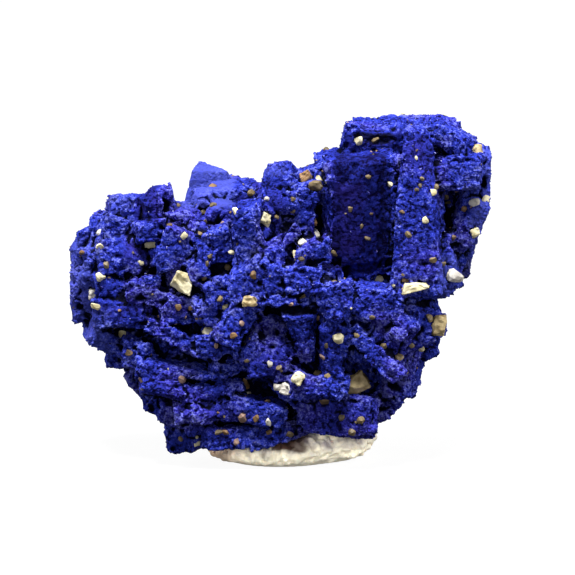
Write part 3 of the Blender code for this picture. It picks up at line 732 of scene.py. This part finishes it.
@dataclass
class Scatter:
    """Random places on a mesh, evenly by area, with the normal and the attributes there.

    Args:
        mesh: The mesh they lie on.
        draws: What they are drawn from.
    """

    mesh: bpy.types.Mesh
    draws: np.random.Generator
    points: np.ndarray = field(init=False)
    normals: np.ndarray = field(init=False)
    corners: np.ndarray = field(init=False)
    areas: np.ndarray = field(init=False)

    def __post_init__(self) -> None:
        """Reads the mesh once."""
        self.points, self.normals = read_points(self.mesh)
        self.corners = triangles_of(self.mesh)
        a, b, c = (self.points[self.corners[:, i]] for i in range(3))
        self.areas = np.linalg.norm(np.cross(b - a, c - a), axis=1) / 2

    def pick(self, count: int, weights: np.ndarray | None = None) -> tuple[np.ndarray, ...]:
        """Chooses places.

        Args:
            count: How many.
            weights: A weight for each triangle, by which its area is multiplied.

        Returns:
            The places, the normals there, the triangle numbers and the corners' shares.
        """
        chance = self.areas if weights is None else self.areas * weights
        chosen = self.draws.choice(len(chance), count, p=chance / chance.sum())
        u, v = self.draws.random((2, count))
        over = u + v > 1
        u[over], v[over] = 1 - u[over], 1 - v[over]
        shares = np.stack([1 - u - v, u, v], axis=1)
        places, normals = (self.between(rows, chosen, shares) for rows in (self.points, self.normals))
        return places, normals, chosen, shares

    def between(self, values: np.ndarray, chosen: np.ndarray, shares: np.ndarray) -> np.ndarray:
        """Returns values kept for each point, worked out at the chosen places."""
        at_corners = values[self.corners[chosen]]
        if values.ndim == 1:
            return (at_corners * shares).sum(1)
        return (at_corners * shares[:, :, None]).sum(1)


def turned_frames(axes: np.ndarray, draws: np.random.Generator, wander: float) -> np.ndarray:
    """Makes rotations whose Z lies near the given directions, turned at random about it.

    Args:
        axes: The directions, as rows of three.
        draws: What they are drawn from.
        wander: How far Z strays: 0 not at all, 1 by 45 degrees or so.

    Returns:
        One 3 by 3 matrix for each direction.
    """
    z = axes + wander * draws.normal(size=axes.shape)
    z /= np.linalg.norm(z, axis=1, keepdims=True)
    x = np.cross(draws.normal(size=axes.shape), z)
    x /= np.linalg.norm(x, axis=1, keepdims=True)
    return np.stack([x, np.cross(z, x), z], axis=2)


def joined_copies(shapes: list[bmesh.types.BMesh], which: np.ndarray, turns: np.ndarray,
                  sizes: np.ndarray, places: np.ndarray,
                  values: dict[str, np.ndarray]) -> bpy.types.Mesh:
    """Joins many turned and scaled copies of a few small shapes in one mesh.

    Args:
        shapes: The shapes, as triangulated bmeshes.
        which: The shape that each copy takes.
        turns: Each copy's rotation.
        sizes: Each copy's scale along the shape's own axes.
        places: Where each copy stands.
        values: Numbers for each copy, which become attributes of its points.

    Returns:
        The mesh.
    """
    all_points, all_corners, start = [], [], 0
    kept: dict[str, list[np.ndarray]] = {name: [] for name in values}
    for number, shape in enumerate(shapes):
        shape.verts.ensure_lookup_table()
        points = np.array([vert.co[:] for vert in shape.verts])
        corners = np.array([[vert.index for vert in face.verts] for face in shape.faces])
        mine = np.flatnonzero(which == number)
        moved = np.einsum("nij,nkj->nki", turns[mine], points[None] * sizes[mine][:, None, :])
        moved += places[mine][:, None, :]
        shift = start + np.arange(len(mine)) * len(points)
        all_points.append(moved.reshape(-1, 3))
        all_corners.append((corners[None] + shift[:, None, None]).reshape(-1, 3))
        for name, numbers in values.items():
            kept[name].append(np.repeat(numbers[mine], len(points)))
        start += len(mine) * len(points)
    points, corners = np.concatenate(all_points), np.concatenate(all_corners)
    mesh = bpy.data.meshes.new("joined")
    mesh.vertices.add(len(points))
    mesh.loops.add(corners.size)
    mesh.polygons.add(len(corners))
    mesh.loops.foreach_set("vertex_index", corners.ravel())
    mesh.polygons.foreach_set("loop_start", np.arange(0, corners.size, 3))
    mesh.vertices.foreach_set("co", points.ravel())
    mesh.update(calc_edges=True)
    for name, numbers in kept.items():
        write_values(mesh, name, np.concatenate(numbers))
    return mesh


@dataclass
class AzuriteCluster:
    """The azurite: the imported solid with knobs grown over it, a weathered skin and a coat.

    Lengths are in millimetres. Noise of lump_width makes soft lumps, cells of block_width and
    knob_width make blocks of unlike heights with creases between them, cells of bead_width make
    round grains, and pits are sunk where a noise of pit_width is above pit_from. The cells are
    bent by waves of bend_width. rise lifts it all. calm is the share of all this that the broad
    flat faces are spared, smooth_share is what the smooth faces keep of it, and worn is how many
    times the edges are smoothed first. A face is flat where the normals, smoothed broad_steps
    times, stay longer than flat_from, and fully so at flat_span more. rings holds how often the
    surroundings are smoothed to find hollows, and how deep the deepest ones are then. The plugs
    behind the large grains are plug_size times as large as those and lie plug_depth of a
    grain's thickness farther in. Crystals of the coat are crystal wide, and the glints have
    sizes from glint_low to glint_high. Knobs are usually knob wide, back_knob near the crystal at
    the back, and few grow on faces of more than broad_area, in square millimetres.
    """

    view: ShowView
    material: bpy.types.Material
    voxel: float = 0.165
    knobs: int = 70
    skin_pieces: int = 3
    skin_triangles: int = 525_000
    knob: float = 1.2
    broad_area: float = 2.5
    plug_size: float = 1.2
    plug_depth: float = 0.75
    bend: float = 0.35
    bend_width: float = 1.1
    lump_width: float = 2.4
    lump_height: float = 0.18
    block_width: float = 2.3
    block_step: float = 0.24
    block_crease: float = 0.28
    knob_width: float = 0.9
    knob_step: float = 0.11
    knob_crease: float = 0.14
    bead_width: float = 0.32
    bead_height: float = 0.1
    pit_width: float = 1.0
    pit_depth: float = 0.8
    pit_from: float = 0.28
    rise: float = 0.08
    gap_depth: float = 0.8
    worn: int = 2
    broad_steps: int = 30
    flat_from: float = 0.83
    flat_span: float = 0.13
    smooth_share: float = 0.4
    rings: tuple[tuple[int, float], ...] = ((12, 0.45), (58, 1.3), (190, 3.0))
    back_crystal: tuple[float, float, float] = (-7.3, 27.2, 5.0)
    back_reach: float = 5.0
    back_knob: float = 0.3
    calm: float = 0.6
    coats: int = 2
    coat_crystals: int = 11_500
    crystal: float = 0.15
    glints: int = 420
    glint_low: tuple[float, float, float] = (0.14, 0.08, 0.2)
    glint_high: tuple[float, float, float] = (0.26, 0.14, 0.5)
    seed: int = 7
    skin: bpy.types.Mesh = field(init=False)

    def build(self) -> None:
        """Makes the skin, its coat and its glints."""
        solid = mesh_from(solid_of("azurite_cluster"), "solid")
        grown = self.fill_seats(self.grow_knobs(solid))
        skin = with_modifier(grown, "REMESH", {"mode": "VOXEL", "voxel_size": self.voxel * MM})
        LOG.info("skin before it is thinned: %d points", len(skin.vertices))
        self.weather(skin)
        share = self.skin_triangles / (2 * len(skin.polygons))
        if share < 1:
            skin = with_modifier(skin, "DECIMATE", {"ratio": share})
        self.mark(skin)
        self.skin = skin
        self.dress_skin()
        self.coat()
        self.glint()

    def grow_knobs(self, solid: bpy.types.Mesh) -> bpy.types.Mesh:
        """Adds blocky knobs all over the solid, fewer on its broad faces.

        Args:
            solid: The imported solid's mesh.

        Returns:
            A mesh of the solid and the knobs, not yet joined.
        """
        rng = random.Random(self.seed)
        scatter = Scatter(solid, np.random.default_rng(self.seed))
        weights = 1 / (1 + (scatter.areas / (self.broad_area * MM * MM)) ** 1.5)
        places, normals, *_ = scatter.pick(self.knobs, weights)
        turns = turned_frames(normals, scatter.draws, 0.6)
        base = np.exp(scatter.draws.normal(math.log(self.knob), 0.34, self.knobs)) * MM
        base[self.at_back_crystal(places)] = self.back_knob * MM
        sizes = base[:, None] * scatter.draws.uniform((0.8, 0.6, 0.6), (1.4, 1.1, 1.1),
                                                      (self.knobs, 3))
        # Half a knob and its slant stay inside the solids' box.
        reach = 0.8 * base[:, None]
        low, high = (np.array(corner) for corner in CAD_BOX)
        places = np.clip(places, low + reach, high - reach)
        shapes = [chipped_block(Vector((1, 1, 1)), 3, rng) for _ in range(8)]
        which = scatter.draws.integers(0, len(shapes), self.knobs)
        knobs = joined_copies(shapes, which, turns, sizes, places, {})
        bm = bmesh.new()
        bm.from_mesh(solid)
        bm.from_mesh(knobs)
        return mesh_from(bm, "with_knobs")

    def at_back_crystal(self, points: np.ndarray) -> np.ndarray:
        """Tells which points, given as rows of three, belong to the smooth crystal at the back."""
        away = points - np.array(self.view.point(*self.back_crystal))
        return np.linalg.norm(away, axis=1) < self.back_reach * MM

    def fill_seats(self, mesh: bpy.types.Mesh) -> bpy.types.Mesh:
        """Fills the seats behind the larger grains, so that no gap is left around them.

        Args:
            mesh: The mesh to add to.

        Returns:
            The mesh with a plug behind each grain.
        """
        bm = bmesh.new()
        bm.from_mesh(mesh)
        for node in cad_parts:
            if not node.startswith("sand_grain"):
                continue
            low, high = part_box(node)
            middle = (low + high) / 2
            behind = self.view.sight() * (high.y - low.y) * self.plug_depth
            plug = solid_of(node)
            bmesh.ops.translate(plug, vec=-middle, verts=plug.verts)
            bmesh.ops.scale(plug, vec=[self.plug_size] * 3, verts=plug.verts)
            bmesh.ops.translate(plug, vec=middle + behind, verts=plug.verts)
            bm.from_mesh(mesh_from(plug, "plug"))
        return mesh_from(bm, "filled")

    def relief(self, point: Vector, flat: float) -> float:
        """Returns how far the weathered skin stands out at a point, all in millimetres.

        Args:
            point: The point.
            flat: 1 on a broad flat face, 0 at edges and corners.
        """
        bent = point + self.bend * noise.noise_vector(point / self.bend_width)
        height = self.lump_height * noise.noise(point / self.lump_width)
        height += cells(bent / self.block_width, self.block_step, self.block_crease)
        height += cells(bent / self.knob_width, self.knob_step, self.knob_crease)
        pit = noise.noise(point / self.pit_width + Vector((7.3, 1.9, 4.4)))
        height -= 2 * self.pit_depth * max(0.0, pit - self.pit_from)
        bead = noise.voronoi(bent / self.bead_width)[0]
        return height * (1 - self.calm * flat) + self.bead_height * (0.45 - bead[0]) + self.rise

    def weather(self, skin: bpy.types.Mesh) -> None:
        """Moves the skin's points in and out by the relief, and writes the attribute flat."""
        points, _ = read_points(skin)
        points = smoothed(skin, points, self.worn)
        write_points(skin, points)
        _, normals = read_points(skin)
        broad = smoothed(skin, normals, self.broad_steps)
        flat = np.clip((np.linalg.norm(broad, axis=1) - self.flat_from) / self.flat_span, 0, 1)
        normals = smoothed(skin, normals, 4)
        normals /= np.linalg.norm(normals, axis=1, keepdims=True)
        bare_and_shaded = self.view.marked(points, BARE_AND_SHADED_FACES)
        flat = np.maximum(flat, bare_and_shaded)
        smooth_end = self.at_back_crystal(points)
        flat[smooth_end] = 1
        heights = np.array([self.relief(Vector(p), f) for p, f in zip(points / MM, flat)])
        heights = np.where(smooth_end | (bare_and_shaded > 0.8), self.smooth_share * heights, heights)
        heights -= self.gap_depth * np.maximum(0, self.view.marked(points, SHADED_GAPS) - 0.3)
        write_points(skin, points + normals * heights[:, None] * MM)
        write_values(skin, "flat", flat)

    def mark(self, skin: bpy.types.Mesh) -> None:
        """Writes four attributes on the skin: a random tone, the hollows and the bare faces, which the
        material paints with shade, and where the painted sheen lies.

        hollow compares each point with its surroundings, smoothed: 0 stands proud, 1 is sunk.
        """
        points, normals = read_points(skin)
        hollow, mean = np.full(len(points), 0.36), points
        for steps, scale in self.rings:
            mean = smoothed(skin, mean, steps)
            hollow += ((mean - points) * normals).sum(1) / (scale * MM)
        # The gaps, and the painted shadow strip on the broad plate, count as deep hollows and so get
        # painted shade.
        hollow = np.maximum(hollow, self.view.marked(points, SHADED_GAPS))
        write_values(skin, "hollow", np.clip(hollow, 0, 1))
        speck = np.array([noise.noise(Vector(p) / 0.5) for p in points / MM])
        write_values(skin, "tone", np.clip(0.45 + 0.5 * speck, 0, 1))
        write_values(skin, "bare_and_shaded", self.view.marked(points, BARE_AND_SHADED_FACES))
        write_values(skin, "painted_sheen", self.view.marked(points, PAINTED_SHEENS))

    def dress_skin(self) -> None:
        """Cuts the skin in slabs from left to right, because one piece would be too large."""
        points, _ = read_points(self.skin)
        cuts = np.quantile(points[:, 0], np.linspace(0, 1, self.skin_pieces + 1))[1:-1]
        far = 2 * abs(points[:, 0]).max()
        edges = [-far, *cuts, far]
        for number, (left, right) in enumerate(zip(edges, edges[1:]), 1):
            bm = bmesh.new()
            bm.from_mesh(self.skin)
            for place, side in ((left, -1.0), (right, 1.0)):
                cut = bmesh.ops.bisect_plane(
                    bm,
                    geom=bm.verts[:] + bm.edges[:] + bm.faces[:],
                    plane_co=(place, 0, 0),
                    plane_no=(side, 0, 0),
                    clear_outer=True,
                )
                rim = [edge for edge in cut["geom_cut"] if isinstance(edge, bmesh.types.BMEdge)]
                bmesh.ops.triangle_fill(bm, use_beauty=False, edges=rim, normal=(side, 0, 0))
            bmesh.ops.triangulate(bm, faces=bm.faces)
            dress(mesh_from(bm, "slab"), f"azurite_skin_{number}", self.material,
                  ("azurite_cluster",))

    def glint(self) -> None:
        """Strews a few clear crystals that glitter over the skin."""
        rng = random.Random(self.seed + 2)
        scatter = Scatter(self.skin, np.random.default_rng(self.seed + 2))
        places, normals, *_ = scatter.pick(self.glints)
        turns = turned_frames(normals, scatter.draws, 0.8)
        sizes = scatter.draws.uniform(self.glint_low, self.glint_high, (self.glints, 3)) * MM
        shapes = [chipped_block(Vector((1, 1, 1)), 2, rng) for _ in range(4)]
        which = scatter.draws.integers(0, len(shapes), self.glints)
        dress(joined_copies(shapes, which, turns, sizes, places, {}), "azurite_glints",
              GlintFinish().material())

    def coat(self) -> None:
        """Grows the coat of tiny crystals over the skin, in several joined pieces."""
        rng = random.Random(self.seed + 1)
        scatter = Scatter(self.skin, np.random.default_rng(self.seed + 1))
        marks = {}
        for name in ("hollow", "flat", "bare_and_shaded", "painted_sheen"):
            marks[name] = np.empty(len(self.skin.vertices), np.float32)
            self.skin.attributes[name].data.foreach_get("value", marks[name])
        # Half as many crystals grow on flat faces, and hardly any on the smooth ones.
        clean = np.maximum(marks["bare_and_shaded"], self.at_back_crystal(scatter.points))
        smooth = clean[scatter.corners].mean(axis=1)
        crust = (1 - 0.5 * marks["flat"][scatter.corners].mean(axis=1)) * (1 - 0.8 * smooth)
        shapes = [chipped_block(Vector((1, 1, 1)), chips, rng) for chips in (0, 0, 0, 1, 1, 0)]
        count = self.coat_crystals
        for number in range(1, self.coats + 1):
            places, normals, chosen, shares = scatter.pick(count, crust)
            sunk = scatter.between(marks["hollow"], chosen, shares)
            turns = turned_frames(normals, scatter.draws, 0.4)
            base = np.exp(scatter.draws.normal(math.log(self.crystal), 0.3, count)) * MM
            base *= 1.15 - 0.45 * sunk
            sizes = base[:, None] * scatter.draws.uniform((0.7, 0.5, 0.8), (1.1, 0.95, 1.4),
                                                          (count, 3))
            which = scatter.draws.integers(0, len(shapes), count)
            tones = scatter.draws.random(count)
            # Each crystal takes the skin's marks, so those in hollows get painted shade and those in
            # the sheen patches the painted sheen.
            values = {name: scatter.between(marks[name], chosen, shares)
                      for name in ("flat", "bare_and_shaded", "painted_sheen")}
            values |= {"tone": tones, "hollow": np.clip(sunk - 0.1, 0, 1)}
            mesh = joined_copies(shapes, which, turns, sizes,
                                 places - normals * base[:, None] * 0.3, values)
            dress(mesh, f"azurite_coat_{number}", self.material)


def cells(point: Vector, step: float, crease: float) -> float:
    """Returns the height of a pattern of blocks of one unit's width.

    Args:
        point: Where, in units of the blocks' width.
        step: How much the blocks' heights differ.
        crease: How deep the creases between them are.
    """
    distances, centres = noise.voronoi(point)
    edge = (distances[1] - distances[0]) / CREASE_WIDTH
    return step * noise.noise(centres[0] * 2.7) - crease * max(0.0, 1 - edge)


def pebble(size: Vector, rng: random.Random) -> bmesh.types.BMesh:
    """Makes a sand grain: a worn lump with a few broken faces.

    Args:
        size: Its width, depth and height.
        rng: What its shape is drawn from.

    Returns:
        The grain about the origin, as a triangulated bmesh.
    """
    bm = bmesh.new()
    bmesh.ops.create_icosphere(bm, subdivisions=2, radius=0.62)
    offset = Vector([rng.uniform(-50, 50) for _ in range(3)])
    for vert in bm.verts:
        vert.co *= 1 + 0.22 * noise.noise(vert.co * 1.7 + offset)
    for _ in range(rng.randint(6, 9)):
        direction = Vector([rng.gauss(0, 1) for _ in range(3)]).normalized()
        cut_face(bm, direction, rng.uniform(0.08, 0.24))
    bmesh.ops.scale(bm, vec=size, verts=bm.verts)
    bmesh.ops.triangulate(bm, faces=bm.faces)
    return bm


def inside_box(point: np.ndarray, margin: float) -> bool:
    """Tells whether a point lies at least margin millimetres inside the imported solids' box."""
    low, high = CAD_BOX
    return all(a + margin * MM < p < b - margin * MM for p, a, b in zip(point, low, high))


@dataclass
class SandGrains:
    """The sand in the azurite: the larger grains in their seats and the smaller ones on the skin.

    strays is how many more lie on the sides that the photograph doesn't show, stray is their
    usual width and largest_stray their greatest. dust is how many specks lie all over, as wide
    as dust_widths. A dark grain gets dark_share of the width in its table. The larger grains'
    edges are rounded by worn_edge, and their faces are rough by the pairs of height and width
    in roughness. All widths are in millimetres.
    """

    view: ShowView
    skin: bpy.types.Mesh
    materials: dict[Sand, bpy.types.Material]
    worn_edge: float = 0.12
    roughness: tuple[tuple[float, float], ...] = ((0.16, 0.6), (0.096, 0.25))
    dark_share: float = 0.8
    strays: int = 150
    stray: float = 0.85
    largest_stray: float = 1.3
    dust: int = 220
    dust_widths: tuple[float, float] = (0.25, 0.42)
    seed: int = 23
    laid: dict[Sand, list[bmesh.types.BMesh]] = field(default_factory=dict)

    def build(self) -> None:
        """Makes all the grains."""
        rng = random.Random(self.seed)
        for number, kind in enumerate(LARGE_GRAINS, 1):
            self.large_grain(number, kind)
        self.laid = {kind: [] for kind in Sand if kind is not Sand.HONEY}
        tree = search_tree(self.skin)
        for kind, grains in SMALL_GRAINS.items():
            for right, up, width in grains:
                start = self.view.point(right, up) - self.view.sight() * 40 * MM
                point, normal, _, _ = tree.ray_cast(start, self.view.sight())
                if point is not None:
                    self.lay(kind, point, normal, width, rng)
        self.lay_strays(tree, rng)
        for kind, grains in self.laid.items():
            whole = bmesh.new()
            for grain in grains:
                whole.from_mesh(mesh_from(grain, "grain"))
            dress(mesh_from(whole, "grains"), f"{kind.value}_grains", self.materials[kind])

    def large_grain(self, number: int, kind: Sand) -> None:
        """Makes one of the larger grains from its solid, with worn edges and rough faces.

        Args:
            number: Its node's number.
            kind: What sand it is.
        """
        node = f"sand_grain_{number:02d}"
        bm = solid_of(node)
        bmesh.ops.dissolve_limit(bm, angle_limit=0.02, verts=bm.verts, edges=bm.edges)
        bmesh.ops.bevel(bm, geom=bm.edges[:], offset=self.worn_edge * MM, segments=2, profile=0.5,
                        affect="EDGES", material=-1)
        bmesh.ops.triangulate(bm, faces=bm.faces)
        bmesh.ops.subdivide_edges(bm, edges=bm.edges, cuts=2, use_grid_fill=True)
        bmesh.ops.recalc_face_normals(bm, faces=bm.faces)
        bm.normal_update()
        shift = Vector((number * 5.1, 0, 0))
        for vert in bm.verts:
            rough = sum(share * noise.noise(vert.co / (width * MM) + shift)
                        for share, width in self.roughness)
            vert.co += vert.normal * rough * MM
        shape = RESHAPED.get(number, Reshaped())
        low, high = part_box(node)
        for vert in bm.verts:
            along = (vert.co.x - low.x) / (high.x - low.x)
            thinner = shape.wedge * (along if shape.wedge > 0 else along - 1)
            vert.co.z = high.z + (vert.co.z - high.z) * (1 - thinner)
            vert.co.z += shape.bend * (abs(2 * along - 1) - 0.5) * MM
        move = -self.view.sight() * shape.proud - Vector((shape.left, 0, 0))
        bmesh.ops.translate(bm, vec=move * MM, verts=bm.verts)
        dress(mesh_from(bm, node), f"large_grain_{number:02d}", self.materials[kind], (node,))

    def lay(self, kind: Sand, point: Vector, normal: Vector, width: float, rng: random.Random) -> None:
        """Lays a small grain on the skin, a third of it sunk in.

        Args:
            kind: What sand it is.
            point: Where it lies.
            normal: The skin's direction there.
            width: Its width in millimetres.
            rng: What its shape is drawn from.
        """
        if kind in (Sand.TAN, Sand.OCHRE, Sand.PINK):
            width *= self.dark_share
        size = Vector((width, rng.uniform(0.6, 0.95) * width, rng.uniform(0.55, 0.8) * width)) * MM
        grain = pebble(size, rng)
        turn = normal.to_track_quat("Z", "Y").to_matrix().to_4x4()
        spin = Matrix.Rotation(rng.uniform(0, math.tau), 4, "Z")
        grain.transform(Matrix.Translation(point + normal * 0.06 * size.z) @ turn @ spin)
        self.laid[kind].append(grain)

    def lay_strays(self, tree: BVHTree, rng: random.Random) -> None:
        """Lays grains on the sides that the photograph doesn't show, and dust all over.

        Args:
            tree: The skin's search tree.
            rng: What the grains are drawn from.
        """
        scatter = Scatter(self.skin, np.random.default_rng(self.seed))
        points, normals, *_ = scatter.pick(3 * self.strays + self.dust)
        kinds = [Sand.TAN] * 3 + [Sand.OCHRE, Sand.CREAM, Sand.CREAM, Sand.WHITE, Sand.PINK]
        specks = [Sand.TAN] * 3 + [Sand.OCHRE, Sand.OCHRE, Sand.PINK, Sand.CREAM]
        hidden = 0
        for number, (point, normal) in enumerate(zip(points, normals)):
            if number < self.dust:
                self.lay(rng.choice(specks), Vector(point), Vector(normal).normalized(),
                         rng.uniform(*self.dust_widths), rng)
            elif hidden < self.strays:
                width = min(self.largest_stray, math.exp(rng.gauss(math.log(self.stray), 0.25)))
                outside = Vector(point + normal * MM)
                cover = tree.ray_cast(outside, -self.view.sight())[0]
                if cover is not None and inside_box(point, width / 2):
                    hidden += 1
                    self.lay(rng.choice(kinds), Vector(point), Vector(normal).normalized(), width, rng)


@dataclass
class PaleBase:
    """The pale lump that the azurite stands on, in millimetres."""

    view: ShowView
    finish: BaseFinish
    voxel: float = 0.23

    def build(self) -> bpy.types.Object:
        """Makes the base from its solid, lumpy on top and smooth below, and returns it."""
        mesh = with_modifier(mesh_from(solid_of("pale_base"), "base"), "REMESH",
                             {"mode": "VOXEL", "voxel_size": self.voxel * MM})
        points, normals = read_points(mesh)
        heights = np.array([self.relief(Vector(p)) for p in points / MM])
        points += normals * heights[:, None] * MM
        points[:, 2] = np.maximum(points[:, 2], 0)
        write_points(mesh, points)
        write_values(mesh, "stain", self.view.marked(points, STAINS))
        left_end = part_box("pale_base")[0].x
        return dress(mesh, "base_lump", self.finish.material(left_end), ("pale_base",))

    def relief(self, point: Vector) -> float:
        """Returns how far the base stands out at a point, in millimetres: less near the ground."""
        level = min(1.0, max(0.0, point.z / 1.0))
        rough = 0.45 * noise.noise(point / 1.2) + 0.34 * noise.noise(point / 0.5)
        return level * (rough + 0.1)


@dataclass(frozen=True)
class Lamp:
    """A square soft light that looks at the specimen, in metres and watts."""

    name: str
    place: tuple[float, float, float]
    width: float
    power: float

    def add(self) -> bpy.types.Object:
        """Adds the light to the scene and returns it."""
        data = bpy.data.lights.new(self.name, "AREA")
        data.size = self.width
        data.energy = self.power
        lamp = bpy.data.objects.new(self.name, data)
        lamp.location = self.place
        lamp.rotation_euler = (SPECIMEN_MIDDLE - Vector(self.place)).to_track_quat("-Z", "Y").to_euler()
        bpy.context.scene.collection.objects.link(lamp)
        return lamp


SPECIMEN_MIDDLE = Vector((0, 0, 0.017))

# A large light above and in front, one at each side and a weak one low in front.
LAMPS: tuple[Lamp, ...] = (
    Lamp("key_light", (-0.03, -0.15, 0.5), 0.2, 8.3),
    Lamp("left_light", (-0.45, 0.08, 0.2), 0.3, 1.7),
    Lamp("right_light", (0.45, -0.06, 0.2), 0.3, 2.4),
    Lamp("bounce_light", (-0.05, -0.34, 0.04), 0.2, 0.4),
)

# What the white floor sends up at the base.
FLOOR_GLOW = Lamp("floor_glow", (-0.01, -0.14, 0.03), 0.1, 0.17)


@dataclass
class Studio:
    """A plain white floor under soft light from above and the sides, in metres.

    The floor glows by floor_glow, and a dark floor_colour lets little shadow show on it. It
    lies floor_drop millimetres low, clear of the base's underside.
    """

    floor_width: float = 6.0
    floor_drop: float = 0.02
    floor_colour: str = "404040"
    floor_glow: float = 0.94
    room_light: float = 0.13

    def build(self) -> None:
        """Makes the floor, the lights and the world."""
        self.floor()
        for lamp in LAMPS:
            lamp.add()
        world = bpy.data.worlds.new("white_room")
        world.use_nodes = True
        world.node_tree.nodes["Background"].inputs["Color"].default_value = (1, 1, 1, 1)
        world.node_tree.nodes["Background"].inputs["Strength"].default_value = self.room_light
        bpy.context.scene.world = world
        bpy.context.scene.view_settings.view_transform = "Standard"

    def floor(self) -> None:
        """Makes the floor, white enough to leave only a trace of shadow."""
        material, _, shader = new_material("white_floor")
        shader.inputs["Base Color"].default_value = linear(self.floor_colour)
        shader.inputs["Roughness"].default_value = 0.9
        shader.inputs["Emission Color"].default_value = (1, 1, 1, 1)
        shader.inputs["Emission Strength"].default_value = self.floor_glow
        bm = bmesh.new()
        bmesh.ops.create_grid(bm, x_segments=1, y_segments=1, size=self.floor_width / 2)
        mesh = mesh_from(bm, "floor")
        mesh.materials.append(material)
        floor = bpy.data.objects.new("floor", mesh)
        floor.location.z = -self.floor_drop * MM
        floor.visible_diffuse = False
        floor.visible_glossy = False
        bpy.context.scene.collection.objects.link(floor)

    def light_base(self, base: bpy.types.Object) -> None:
        """Lights the base alone, in place of the light that the white floor sends through it."""
        lit = bpy.data.collections.new("lit_from_the_floor")
        lit.objects.link(base)
        FLOOR_GLOW.add().light_linking.receiver_collection = lit


def main() -> None:
    """Builds the specimen, its studio and the camera."""
    logging.basicConfig(level=logging.INFO, format="%(name)s: %(message)s")
    noise.seed_set(NOISE_SEED)
    view = ShowView()
    view.camera()
    studio = Studio()
    studio.build()
    cluster = AzuriteCluster(view, AzuriteFinish().material())
    cluster.build()
    SandGrains(view, cluster.skin, {f.kind: f.material() for f in SAND_FINISHES}).build()
    studio.light_base(PaleBase(view, BaseFinish()).build())


if __name__ == "__main__":
    main()
